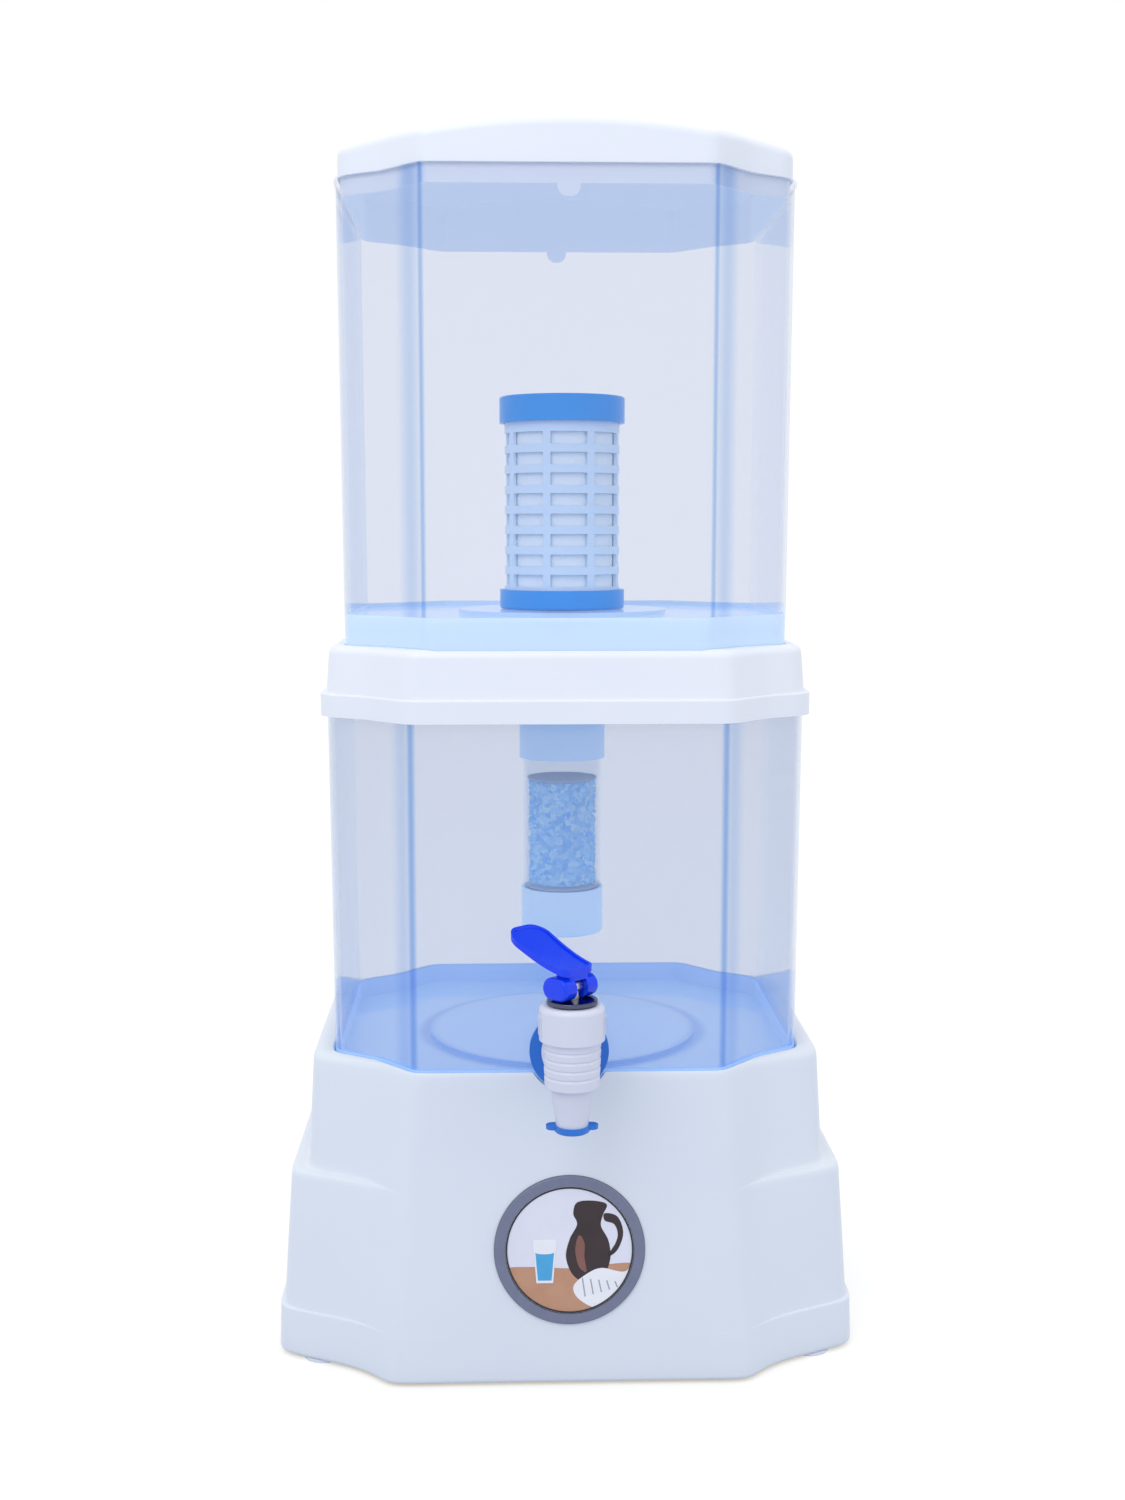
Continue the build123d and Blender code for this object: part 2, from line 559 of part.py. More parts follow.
def top_lid():
    above = UPPER_RIM_Z + LID_DOME_HEIGHT + 1
    lid = walls(UPPER_RIM_Z, above, level_lid_plan, -LID_INSET) & dome(0)
    lid = fillet(lid.faces().sort_by(Axis.Z)[-1].outer_wire().edges(), LID_EDGE_RADIUS)
    skirt_gap = -TANK_WALL - LID_SKIRT_GAP
    skirt_z = UPPER_RIM_Z - LID_SKIRT_DROP
    lid += walls(skirt_z, UPPER_RIM_Z + LID_TOP, level_lid_plan, skirt_gap)
    hollow_gap = skirt_gap - LID_SKIRT_WALL
    lid -= walls(skirt_z - 1, above, level_lid_plan, hollow_gap) & dome(LID_TOP)
    skirt_y = UPPER_TANK_DEPTH / 2 + skirt_gap - LID_SKIRT_WALL / 2
    for side in (-1, 1):
        tab = Box(LID_TAB_WIDTH, LID_SKIRT_WALL, 2 * LID_TAB_DROP)
        lower_edges = tab.edges().filter_by(Axis.Y).group_by(Axis.Z)[0]
        tab = fillet(lower_edges, LID_TAB_WIDTH / 2 - 0.5)
        lid += Pos(0, side * skirt_y, skirt_z) * tab
    return lid


def filter_base_cap():
    """Lower cap of the sediment filter, with the hollow stud that passes through the floor."""
    top = FILTER_Z + FILTER_BASE_CAP_HEIGHT
    floor_top = FILTER_Z + FILTER_CAP_FLOOR
    cap = rod(FILTER_CAP_RADIUS, FILTER_Z, top)
    cap -= rod(FILTER_CAGE_RADIUS + FILTER_FIT, floor_top, top)
    cap = fillet(cap.edges().group_by(Axis.Z)[0], FILTER_CAP_WALL / 2)
    seal_radius = STUD_RADIUS + FILTER_SEAL_WIDTH
    cap -= rod(seal_radius + FILTER_FIT, FILTER_Z, FILTER_SEAT_Z + FILTER_SEAL_THICKNESS)
    cap += rod(STUD_RADIUS, OUTLET_NUT_Z - STUD_END, floor_top)
    return cap - rod(STUD_BORE_RADIUS, OUTLET_NUT_Z - STUD_END, floor_top)


def filter_base_seal():
    """Flat rubber ring between the lower cap and the tank's floor."""
    outer = STUD_RADIUS + FILTER_SEAL_WIDTH
    return tube(outer, STUD_RADIUS, FILTER_SEAT_Z, FILTER_SEAT_Z + FILTER_SEAL_THICKNESS)


def filter_cage():
    """Slotted cage: hoops joined by upright bars."""
    inner = FILTER_CAGE_RADIUS - FILTER_CAGE_WALL
    low = FILTER_Z + FILTER_CAP_FLOOR
    high = CAGE_TOP_Z
    first = FILTER_Z + FILTER_BASE_CAP_HEIGHT + FILTER_CAGE_LOW_BAND
    last = TOP_CAP_Z - FILTER_CAGE_TOP_BAND
    pitch = (last - first + FILTER_ROW_BAR) / FILTER_ROWS
    shell = tube(FILTER_CAGE_RADIUS, inner, low, high)
    window = pitch - FILTER_ROW_BAR
    gaps = [rod(FILTER_CAGE_RADIUS + 1, first + row * pitch, first + row * pitch + window)
            for row in range(FILTER_ROWS)]
    bars = Compound([
        Rot(0, 0, FILTER_FIRST_BAR_ANGLE + column * 360 / FILTER_COLUMNS)
        * Pos(FILTER_CAGE_RADIUS, 0, (low + high) / 2)
        * Box(4 * FILTER_CAGE_WALL, FILTER_COLUMN_BAR, high - low)
        for column in range(FILTER_COLUMNS)
    ])
    uprights = shell & bars
    return (shell - Compound(gaps)) + uprights


def filter_core():
    """Pleated-fibre sleeve that catches the sediment."""
    low = FILTER_Z + FILTER_CAP_FLOOR
    return tube(FILTER_CORE_RADIUS, FILTER_TUBE_RADIUS + FILTER_FIT, low, CAGE_TOP_Z - FILTER_FIT)


def filter_tube():
    """Perforated tube that carries the sleeve and leads water to the stud."""
    low = FILTER_Z + FILTER_CAP_FLOOR
    high = CAGE_TOP_Z
    pipe = tube(FILTER_TUBE_RADIUS, FILTER_TUBE_RADIUS - FILTER_TUBE_WALL, low, high)
    pitch = (high - low) / (FILTER_ROWS + 1)
    drills = []
    for row in range(FILTER_ROWS):
        drill = bar_along_y(FILTER_TUBE_HOLE_RADIUS, -FILTER_TUBE_RADIUS - 1, FILTER_TUBE_RADIUS + 1,
                            low + (row + 1) * pitch)
        drills += [drill, Rot(0, 0, 90) * drill]
    return pipe - Compound(drills)


def filter_top_cap():
    """Push-on upper cap of the sediment filter."""
    top = TOP_CAP_Z + FILTER_TOP_CAP_HEIGHT
    cap = rod(FILTER_CAP_RADIUS, TOP_CAP_Z, top)
    cap = fillet(cap.edges().group_by(Axis.Z)[-1], FILTER_CAP_WALL / 2)
    return cap - rod(FILTER_CAGE_RADIUS + FILTER_FIT, TOP_CAP_Z, top - FILTER_CAP_WALL)


def outlet_seal():
    """Flat rubber ring under the tank's floor."""
    outer = OUTLET_NUT_RADIUS
    return tube(outer, STUD_RADIUS + STUD_GAP, OUTLET_SEAL_Z, OUTLET_SEAL_Z + OUTLET_SEAL_THICKNESS)


def outlet_nut():
    """Wing nut that clamps the filter's stud to the floor."""
    nut = rod(OUTLET_NUT_RADIUS, OUTLET_NUT_Z, OUTLET_SEAL_Z)
    span = 2 * (OUTLET_NUT_RADIUS + OUTLET_NUT_WING)
    wings = Box(span, OUTLET_NUT_THICKNESS / 2, OUTLET_NUT_THICKNESS)
    nut += Pos(0, 0, (OUTLET_NUT_Z + OUTLET_SEAL_Z) / 2) * wings
    return nut - rod(STUD_RADIUS + STUD_GAP, OUTLET_NUT_Z, OUTLET_SEAL_Z)


def cartridge_seal():
    """Rubber ring at the bottom of the collar's socket, against the stud's end."""
    low = SOCKET_FLOOR_Z
    outer = STUD_RADIUS + STUD_GAP
    return tube(outer, STUD_BORE_RADIUS, low, low + CARTRIDGE_SEAL_THICKNESS)


def cartridge_collar():
    """Collar with a socket for the stud above and a wide sleeve for the tube below."""
    collar = rod(CARTRIDGE_COLLAR_RADIUS, COLLAR_TOP_Z - CARTRIDGE_COLLAR_LENGTH, COLLAR_TOP_Z)
    collar = fillet(collar.edges().group_by(Axis.Z)[-1], CARTRIDGE_WALL)
    socket_radius = STUD_RADIUS + STUD_GAP + CARTRIDGE_FIT
    collar -= rod(socket_radius, SOCKET_FLOOR_Z, COLLAR_TOP_Z)
    collar -= rod(STUD_BORE_RADIUS, TUBE_TOP_Z, COLLAR_TOP_Z)
    sleeve_radius = CARTRIDGE_RADIUS + CARTRIDGE_FIT
    return collar - rod(sleeve_radius, COLLAR_TOP_Z - CARTRIDGE_COLLAR_LENGTH, TUBE_TOP_Z)


def cartridge_tube():
    return tube(CARTRIDGE_RADIUS, CARTRIDGE_RADIUS - CARTRIDGE_WALL, TUBE_Z, TUBE_TOP_Z)


def cartridge_foot():
    """Outlet cup at the cartridge's lower end, with slots in its floor."""
    cup = rod(CARTRIDGE_FOOT_RADIUS, FOOT_Z, FOOT_Z + CARTRIDGE_FOOT_HEIGHT)
    cup = fillet(cup.edges().group_by(Axis.Z)[0], CARTRIDGE_WALL)
    cup -= rod(CARTRIDGE_RADIUS + CARTRIDGE_FIT, TUBE_Z, FOOT_Z + CARTRIDGE_FOOT_HEIGHT)
    slot = Box(CARTRIDGE_RADIUS / 2, CARTRIDGE_WALL, 3 * CARTRIDGE_FOOT_FLOOR)
    for index in range(8):
        cup -= Rot(0, 0, 45 * index) * Pos(CARTRIDGE_RADIUS / 2, 0, FOOT_Z) * slot
    return cup


def cartridge_screen(low):
    """Disc of fine mesh that holds the granules."""
    return rod(CARTRIDGE_RADIUS - CARTRIDGE_WALL - CARTRIDGE_FIT, low, low + CARTRIDGE_SCREEN)


def cartridge_granules():
    """Bed of mineral granules between the two screens."""
    radius = CARTRIDGE_RADIUS - CARTRIDGE_WALL - CARTRIDGE_FIT
    return rod(radius, FOOT_Z + GRANULE_BED_BASE, FOOT_Z + GRANULE_BED_BASE + GRANULE_BED)


def at_tap(shape):
    """Moves a shape made about the Z axis to the tap's upright axis."""
    return Pos(0, TAP_Y, 0) * shape


def tap_washer_outer():
    start = WALL_Y - TAP_WASHER_THICKNESS
    disc = bar_along_y(TAP_WASHER_RADIUS, start, WALL_Y, TAP_Z)
    return disc - bar_along_y(TAP_SHANK_RADIUS, start, WALL_Y, TAP_Z)


def tap_washer_inner():
    start = WALL_Y + TANK_WALL
    end = start + TAP_INNER_WASHER_THICKNESS
    disc = bar_along_y(TAP_INNER_WASHER_RADIUS, start, end, TAP_Z)
    return disc - bar_along_y(TAP_SHANK_RADIUS, start, end, TAP_Z)


def tap_nut():
    """Six-sided nut inside the lower tank."""
    start = WALL_Y + TANK_WALL + TAP_INNER_WASHER_THICKNESS
    hexagon = extrude(RegularPolygon(TAP_NUT_WIDTH / 2, 6, major_radius=False), TAP_NUT_THICKNESS)
    nut = Pos(0, start, TAP_Z) * Rot(-90, 0, 0) * hexagon
    return nut - bar_along_y(TAP_SHANK_RADIUS, start, start + TAP_NUT_THICKNESS, TAP_Z)


def tap_body():
    """Body of the tap: ringed barrel, spout below, threaded neck above, shank behind."""
    low_radius = TAP_BODY_RADIUS - TAP_BODY_TAPER
    outline = [(0, SPOUT_END_Z), (TAP_SPOUT_END_RADIUS, SPOUT_END_Z),
               (TAP_SPOUT_TOP_RADIUS, SPOUT_TOP_Z), (low_radius - 1, SPOUT_TOP_Z),
               (low_radius, SPOUT_TOP_Z + 1)]
    for ring in range(TAP_RING_COUNT, 0, -1):
        below_top = ring * TAP_RING_PITCH
        radius = TAP_BODY_RADIUS - TAP_BODY_TAPER * below_top / (TAP_BODY_ABOVE + TAP_BODY_BELOW)
        z = BODY_TOP_Z - below_top
        outline += [(radius, z - 2 * TAP_RING_DEPTH), (radius - TAP_RING_DEPTH, z),
                    (radius, z + 2 * TAP_RING_DEPTH)]
    outline += [(TAP_BODY_RADIUS, BODY_TOP_Z), (TAP_THREAD_RADIUS, BODY_TOP_Z),
                (TAP_THREAD_RADIUS, BODY_TOP_Z + TAP_THREAD_LENGTH), (0, BODY_TOP_Z + TAP_THREAD_LENGTH)]
    body = at_tap(turned(outline))
    flange_y = WALL_Y - TAP_WASHER_THICKNESS - TAP_FLANGE_THICKNESS
    body += bar_along_y(TAP_NECK_RADIUS, TAP_Y, flange_y + 1, TAP_Z)
    flange = bar_along_y(TAP_FLANGE_RADIUS, flange_y, flange_y + TAP_FLANGE_THICKNESS, TAP_Z)
    body += fillet(flange.edges().group_by(Axis.Y)[0], 1)
    body += bar_along_y(TAP_SHANK_RADIUS, flange_y, WALL_Y + TAP_SHANK_INSIDE, TAP_Z)
    body -= at_tap(rod(TAP_CHAMBER_RADIUS, VALVE_SEAT_Z, BODY_TOP_Z + TAP_THREAD_LENGTH))
    body -= at_tap(rod(TAP_SPOUT_BORE, SPOUT_END_Z, VALVE_SEAT_Z))
    return body - bar_along_y(TAP_SHANK_BORE, TAP_Y, WALL_Y + TAP_SHANK_INSIDE, TAP_Z)


def spout_ring():
    """Winged ring pressed over the end of the spout."""
    top = SPOUT_END_Z + SPOUT_RING_OVERLAP
    low = top - SPOUT_RING_HEIGHT
    outer = TAP_SPOUT_END_RADIUS + SPOUT_RING_WALL
    ring = rod(outer, low, top)
    ring = fillet(ring.edges().group_by(Axis.Z)[0], 2.0)
    wing = Box(SPOUT_WING_SPAN, SPOUT_WING_WIDTH, SPOUT_WING_THICKNESS)
    wing = fillet(wing.edges().filter_by(Axis.Z), SPOUT_WING_WIDTH / 2 - 0.2)
    ring += Pos(0, 0, top - SPOUT_WING_THICKNESS / 2) * wing
    taper = (TAP_SPOUT_TOP_RADIUS - TAP_SPOUT_END_RADIUS) / TAP_SPOUT_LENGTH
    seat_radius = TAP_SPOUT_END_RADIUS + taper * SPOUT_RING_OVERLAP
    ring -= turned([(0, SPOUT_END_Z), (TAP_SPOUT_END_RADIUS, SPOUT_END_Z), (seat_radius, top), (0, top)])
    return at_tap(ring - rod(TAP_SPOUT_BORE, low, top))


def tap_bonnet():
    """Screwed collar over the tap's neck, with two patches of grip ribs."""
    bonnet = rod(BONNET_RADIUS, BODY_TOP_Z, BONNET_TOP_Z)
    bonnet = fillet(bonnet.edges().group_by(Axis.Z)[-1], BONNET_EDGE_RADIUS)
    rib_low = BODY_TOP_Z + BONNET_EDGE_RADIUS
    rib_high = BONNET_TOP_Z - 2 * BONNET_EDGE_RADIUS
    rib = Box(2 * BONNET_RIB_PROUD, BONNET_RIB_WIDTH, rib_high - rib_low)
    for side in (0, 180):
        for index in range(BONNET_RIB_COUNT):
            angle = side + (index - (BONNET_RIB_COUNT - 1) / 2) * BONNET_RIB_PITCH
            bonnet += Rot(0, 0, angle) * Pos(BONNET_RADIUS, 0, (rib_low + rib_high) / 2) * rib
    bonnet += rod(BONNET_SPIGOT_RADIUS, BONNET_TOP_Z, BONNET_TOP_Z + BONNET_SPIGOT_HEIGHT)
    thread_top = BODY_TOP_Z + TAP_THREAD_LENGTH
    bonnet -= rod(TAP_THREAD_RADIUS + BONNET_THREAD_GAP, BODY_TOP_Z, thread_top)
    bonnet -= rod(TAP_CHAMBER_RADIUS, BODY_TOP_Z, BONNET_TOP_Z - BONNET_TOP)
    bonnet -= rod(STEM_RADIUS + STEM_GAP, BODY_TOP_Z, BONNET_TOP_Z + BONNET_SPIGOT_HEIGHT)
    return at_tap(bonnet)


def tap_spring():
    """Closing spring between the plug and the bonnet."""
    low = VALVE_SEAT_Z + PLUG_THICKNESS + PLUG_NECK_HEIGHT + SPRING_END_GAP + SPRING_WIRE_RADIUS
    high = BONNET_TOP_Z - BONNET_TOP - SPRING_END_GAP - SPRING_WIRE_RADIUS
    height = high - low
    path = Helix(pitch=height / SPRING_TURNS, height=height, radius=SPRING_RADIUS)
    start = Plane(origin=path @ 0, z_dir=path % 0)
    coil = sweep(start * Circle(SPRING_WIRE_RADIUS), path=path, is_frenet=True)
    return at_tap(Pos(0, 0, low) * coil)


def swivel_ring():
    """Steel ring that the lever's cams stand on. It turns on the bonnet's spigot."""
    low = BONNET_TOP_Z + SWIVEL_GAP
    ring = rod(SWIVEL_RING_RADIUS, low, RING_TOP_Z)
    ring = fillet(ring.edges(), 0.8)
    spigot_top = BONNET_TOP_Z + BONNET_SPIGOT_HEIGHT + SWIVEL_GAP
    ring -= rod(BONNET_SPIGOT_RADIUS + SWIVEL_BEARING_GAP, low, spigot_top)
    return at_tap(ring - rod(STEM_RADIUS + STEM_GAP, low, RING_TOP_Z))


def tap_plug():
    """Soft plug that closes the valve seat."""
    plug = rod(PLUG_RADIUS, VALVE_SEAT_Z, VALVE_SEAT_Z + PLUG_THICKNESS)
    plug += rod(PLUG_NECK_RADIUS, VALVE_SEAT_Z, VALVE_SEAT_Z + PLUG_THICKNESS + PLUG_NECK_HEIGHT)
    return at_tap(plug - rod(STEM_RADIUS, VALVE_SEAT_Z + PLUG_THICKNESS / 2, BODY_TOP_Z))


def lever_frame():
    """Place of the lever: X the way it points, Y along its pin, origin on the pin."""
    return Pos(0, TAP_Y, PIN_Z) * Rot(0, 0, LEVER_TURN)


def tap_stem():
    """Stem from the plug up to the pin, with a rounded head."""
    stem = rod(STEM_RADIUS, VALVE_SEAT_Z + PLUG_THICKNESS / 2 - PIN_Z, 0)
    stem += bar_along_y(STEM_HEAD_RADIUS, -STEM_RADIUS, STEM_RADIUS, 0)
    return lever_frame() * (stem - bar_along_y(LEVER_PIN_RADIUS, -STEM_RADIUS, STEM_RADIUS, 0))


def lever_pin():
    half_length = LEVER_FORK_WIDTH / 2 - 1
    return lever_frame() * bar_along_y(LEVER_PIN_RADIUS, -half_length, half_length, 0)


def paddle_slab(low, high):
    """Slab that follows the paddle's curve, between two heights over its top face."""
    start = (-LEVER_NECK_LENGTH / 2, LEVER_NECK_HEIGHT)
    end = (LEVER_REACH + 1, LEVER_RISE)
    curve = Spline(start, end, tangents=[(1, LEVER_ROOT_SLOPE), (1, LEVER_TIP_SLOPE)])
    bottom, top = Pos(0, low) * curve, Pos(0, high) * curve
    ends = [Line(bottom @ 0, top @ 0), Line(bottom @ 1, top @ 1)]
    outline = make_face([*bottom.edges(), *top.edges(), *ends])
    return Rot(90, 0, 0) * extrude(outline, amount=LEVER_PADDLE_WIDTH, both=True)


def paddle_outline(inset):
    """Paddle as seen from above, drawn in by inset."""
    root, tip = -LEVER_NECK_LENGTH / 2, LEVER_REACH
    corners = [(tip, LEVER_PADDLE_WIDTH / 2), (root, LEVER_PADDLE_ROOT_WIDTH / 2)]
    corners += [(x, -y) for x, y in reversed(corners)]
    face = make_face(Polyline(*corners, close=True))
    face = fillet([v for v in face.vertices() if v.X > 0], LEVER_TIP_RADIUS)
    face = fillet([v for v in face.vertices() if v.X < 0], LEVER_TIP_RADIUS / 2)
    return offset(face, -inset) if inset else face


def tap_lever():
    """Press lever: a fork of two cams on the pin, a neck and a dished paddle."""
    high = 2 * LEVER_RISE
    paddle = paddle_slab(-LEVER_PADDLE_THICKNESS, 0) & extrude(paddle_outline(0), high)
    dish = paddle_slab(-LEVER_DISH_DEPTH, LEVER_RISE) & extrude(paddle_outline(LEVER_DISH_RIM), high)
    paddle -= dish
    neck_height = LEVER_NECK_HEIGHT - LEVER_DISH_DEPTH - 0.5
    neck = Pos(0, 0, neck_height / 2) * Box(LEVER_NECK_LENGTH, LEVER_NECK_WIDTH, neck_height)
    neck = fillet(neck.edges().filter_by(Axis.Z), 2.5)
    cam_outline = SlotCenterToCenter(LEVER_CAM_OFFSET + LEVER_CAM_BACK, 2 * LEVER_CAM_RADIUS)
    cam_middle = (LEVER_CAM_OFFSET - LEVER_CAM_BACK) / 2
    cam = extrude(Pos(cam_middle, 0) * cam_outline, amount=LEVER_FORK_WIDTH / 2, both=True)
    end_faces = cam.faces().filter_by(Axis.Z)
    cam = fillet(end_faces.edges(), 2.0)
    lever = paddle + neck + Rot(90, 0, 0) * cam
    slot_half = STEM_RADIUS + LEVER_SLOT_GAP
    head_room = STEM_HEAD_RADIUS + LEVER_SLOT_GAP
    slot_length = 4 * LEVER_CAM_RADIUS + 4 * LEVER_CAM_OFFSET
    lever -= Pos(0, 0, (head_room - high) / 2) * Box(slot_length, 2 * slot_half, high + head_room)
    hole_reach = LEVER_FORK_WIDTH / 2 - 1 + LEVER_SLOT_GAP
    lever -= bar_along_y(LEVER_PIN_RADIUS + LEVER_PIN_GAP, -hole_reach, hole_reach, 0)
    return lever_frame() * lever


NODES = {
    "base_stand": base_stand,
    "base_feet": base_feet,
    "badge_ring": badge_ring,
    "badge_plate": badge_plate,
    "lower_tank": lower_tank,
    "tap_washer_outer": tap_washer_outer,
    "tap_washer_inner": tap_washer_inner,
    "tap_nut": tap_nut,
    "tap_body": tap_body,
    "spout_ring": spout_ring,
    "tap_bonnet": tap_bonnet,
    "tap_spring": tap_spring,
    "swivel_ring": swivel_ring,
    "tap_stem": tap_stem,
    "tap_plug": tap_plug,
    "lever_pin": lever_pin,
    "tap_lever": tap_lever,
    "mid_cover": mid_cover,
    "upper_tank": upper_tank,
    "outlet_seal": outlet_seal,
    "outlet_nut": outlet_nut,
    "filter_base_cap": filter_base_cap,
    "filter_base_seal": filter_base_seal,
    "filter_cage": filter_cage,
    "filter_core": filter_core,
    "filter_tube": filter_tube,
    "filter_top_cap": filter_top_cap,
    "cartridge_seal": cartridge_seal,
    "cartridge_collar": cartridge_collar,
    "cartridge_tube": cartridge_tube,
    "cartridge_foot": cartridge_foot,
    "cartridge_top_screen": lambda: cartridge_screen(FOOT_Z + GRANULE_BED_BASE + GRANULE_BED),
    "cartridge_bottom_screen": lambda: cartridge_screen(FOOT_Z + GRANULE_BED_BASE - CARTRIDGE_SCREEN),
    "cartridge_granules": cartridge_granules,
    "top_lid": top_lid,
}

# Middle of the whole from front to back: between the tap's bonnet and the stand's back edge
CENTRE_Y = (TAP_Y - BONNET_RADIUS + stand_depth(FOOT_PROUD)) / 2

for node, make in NODES.items():
    export_step(Pos(0, -CENTRE_Y, 0) * make(), f"parts/{node}.step")
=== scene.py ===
import math

import bpy
from mathutils import Matrix, Vector


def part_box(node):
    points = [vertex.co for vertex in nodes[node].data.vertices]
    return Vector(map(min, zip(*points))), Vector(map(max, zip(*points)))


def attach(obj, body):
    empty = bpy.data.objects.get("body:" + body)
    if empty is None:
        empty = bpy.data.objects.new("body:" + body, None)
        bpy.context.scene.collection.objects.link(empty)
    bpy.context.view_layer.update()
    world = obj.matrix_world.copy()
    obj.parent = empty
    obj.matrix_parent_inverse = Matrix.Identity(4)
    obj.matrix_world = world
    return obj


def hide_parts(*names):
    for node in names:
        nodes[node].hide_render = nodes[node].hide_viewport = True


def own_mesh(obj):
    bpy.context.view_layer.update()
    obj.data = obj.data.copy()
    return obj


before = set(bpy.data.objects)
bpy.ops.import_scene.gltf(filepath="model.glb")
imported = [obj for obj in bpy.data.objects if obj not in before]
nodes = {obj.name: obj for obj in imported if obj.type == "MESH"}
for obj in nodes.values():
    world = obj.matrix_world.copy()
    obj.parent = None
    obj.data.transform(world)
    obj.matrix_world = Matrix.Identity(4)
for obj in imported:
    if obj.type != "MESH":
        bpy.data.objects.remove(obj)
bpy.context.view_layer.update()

# ---------------------------------------------------------------------------------------------
# Stand. One hollow injection moulding of white polypropylene: three tiers, with broad panels
# front and back. The mould is rounded at every edge, so tiers and panels run softly into one
# another. The lower tank stands in the pocket, the tap's washer in the notch of its rim.

lid_low, lid_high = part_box("top_lid")
AXIS_Y = (lid_low[1] + lid_high[1]) / 2  # the tanks' upright middle line, in metres
# Sizes in millimetres. A half width is measured to the side walls.
STAND_TOP, TREAD_Z, PLINTH_Z, STAND_FOOT = 171.5, 105.5, 28.0, 1.5  # heights of the tiers
TOP_HALF, TIER_HALF = 142.6, 146.0  # top tier at its rim and on the tread
TREAD_HALF, LEDGE_HALF = 155.6, 160.2  # middle tier at the tread and on the plinth
PLINTH_HALF, FOOT_HALF = 162.5, 163.09  # plinth at its top and at its foot
STAND_WALL = 3.0
RIM_ROUND, FOOT_ROUND = 5.0, 3.0
POCKET_Z = 157.9
PANEL_DEPTH = (124.5, 12.0)  # half depth over the panels at the top, and how much more below
PANEL_WIDTH = (84.0, 14.0)  # half width of the flat panel, likewise
STEP_BACK, STEP_OUT = 25.5, 22.0  # how far the panel's side walls run back and outwards
SIDE_BACK = 42.0  # from the panel back to the side corner
SHOULDER = 0.47  # depth that a tier's shoulder loses for each millimetre outwards
TANK_FOOT = (130.4, 120.5, 82.4)  # lower tank where it stands: half width, depth and panel
TANK_SHOULDER = 0.635
PLATE_X, PLATE_Y, PLATE_THICK = 117.1, 71.5, 2.9  # inner corner of a foot's plate
NOTCH_RADIUS, TAP_Z = 22.7, 183.1
BADGE_RADIUS, BADGE_Z = 41.0, 75.0


def linear(code):
    """Linear colour, with full alpha, from an sRGB hex string."""
    parts = [int(code[i:i + 2], 16) / 255 for i in (1, 3, 5)]
    return (*[c / 12.92 if c <= 0.04045 else ((c + 0.055) / 1.055) ** 2.4 for c in parts], 1.0)


def add(tree, kind, inputs=(), **settings):
    """Adds a node with its settings, and sets or links its named inputs. A node given as an
    input stands for its first output, and a list for all that a joining input takes."""
    made = tree.nodes.new(kind)
    for key, value in settings.items():
        setattr(made, key, value)
    for key, value in dict(inputs).items():
        for given in value if isinstance(value, list) else [value]:
            if isinstance(given, bpy.types.Node):
                given = given.outputs[0]
            if isinstance(given, bpy.types.NodeSocket):
                tree.links.new(given, made.inputs[key])
            else:
                made.inputs[key].default_value = given
    return made


def blank_material(name):
    """New material and its empty node tree."""
    material = bpy.data.materials.new(name)
    material.use_nodes = True
    material.node_tree.nodes.clear()
    return material, material.node_tree


def moulded(name, colour, shade, roughness, grain_mm, grain=0.03, cloud=14.0, ior=1.49, glow=0.0):
    """Moulded plastic or rubber: two close colours in soft clouds, and the grain of its mould.
    A glow stands in for daylight that a milky plastic passes on."""
    material, tree = blank_material(name)
    place = add(tree, "ShaderNodeTexCoord").outputs["Object"]
    clouds = add(tree, "ShaderNodeTexNoise", {"Vector": place, "Scale": cloud, "Detail": 2.0})
    tint = add(tree, "ShaderNodeMix", {0: clouds, 6: linear(shade), 7: linear(colour)},
               data_type="RGBA")
    pits = add(tree, "ShaderNodeTexNoise", {"Vector": place, "Scale": 1000.0 / grain_mm,
                                            "Detail": 1.0})
    bump = add(tree, "ShaderNodeBump", {"Height": pits, "Strength": grain, "Distance": 0.0003})
    skin = add(tree, "ShaderNodeBsdfPrincipled", {
        "Base Color": tint.outputs[2], "Roughness": roughness, "IOR": ior, "Normal": bump,
        "Emission Color": linear("#7CC0FF"), "Emission Strength": glow})
    add(tree, "ShaderNodeOutputMaterial", {"Surface": skin})
    return material


def finish_node(name, material):
    """Gives a carried-over node its material."""
    for slot in nodes[name].material_slots:
        slot.material = material


def soft_reach(sides, angle, softness):
    """How far a rounded convex outline reaches at an angle, from the lines of its sides."""
    c, s = abs(math.cos(angle)), abs(math.sin(angle))
    reaches = [d / (nx * c + ny * s) for nx, ny, d in sides if nx * c + ny * s > 1e-6]
    least = min(reaches)
    return least - softness * math.log(sum(math.exp((least - r) / softness) for r in reaches))


def panel_sides(half_panel, half_depth, grow):
    """Lines of the front panel, its slanted side walls and where those end."""
    slant = math.hypot(STEP_BACK, STEP_OUT)
    wall = (STEP_BACK * half_panel + STEP_OUT * half_depth) / slant
    return [(0.0, 1.0, half_depth + grow), (STEP_BACK / slant, STEP_OUT / slant, wall + grow),
            (1.0, 0.0, half_panel + 2 * STEP_OUT + grow)]


def tier_sides(half_width, half_depth, slope, grow):
    """Lines of a tier's side, its slanted shoulder and its front under the panel."""
    side_y = half_depth - SIDE_BACK
    length = math.hypot(slope, 1.0)
    return [(1.0, 0.0, half_width + grow),
            (slope / length, 1 / length, (slope * half_width + side_y) / length + grow),
            (0.0, 1.0, side_y + (half_width - PANEL_WIDTH[0]) * slope + grow)]


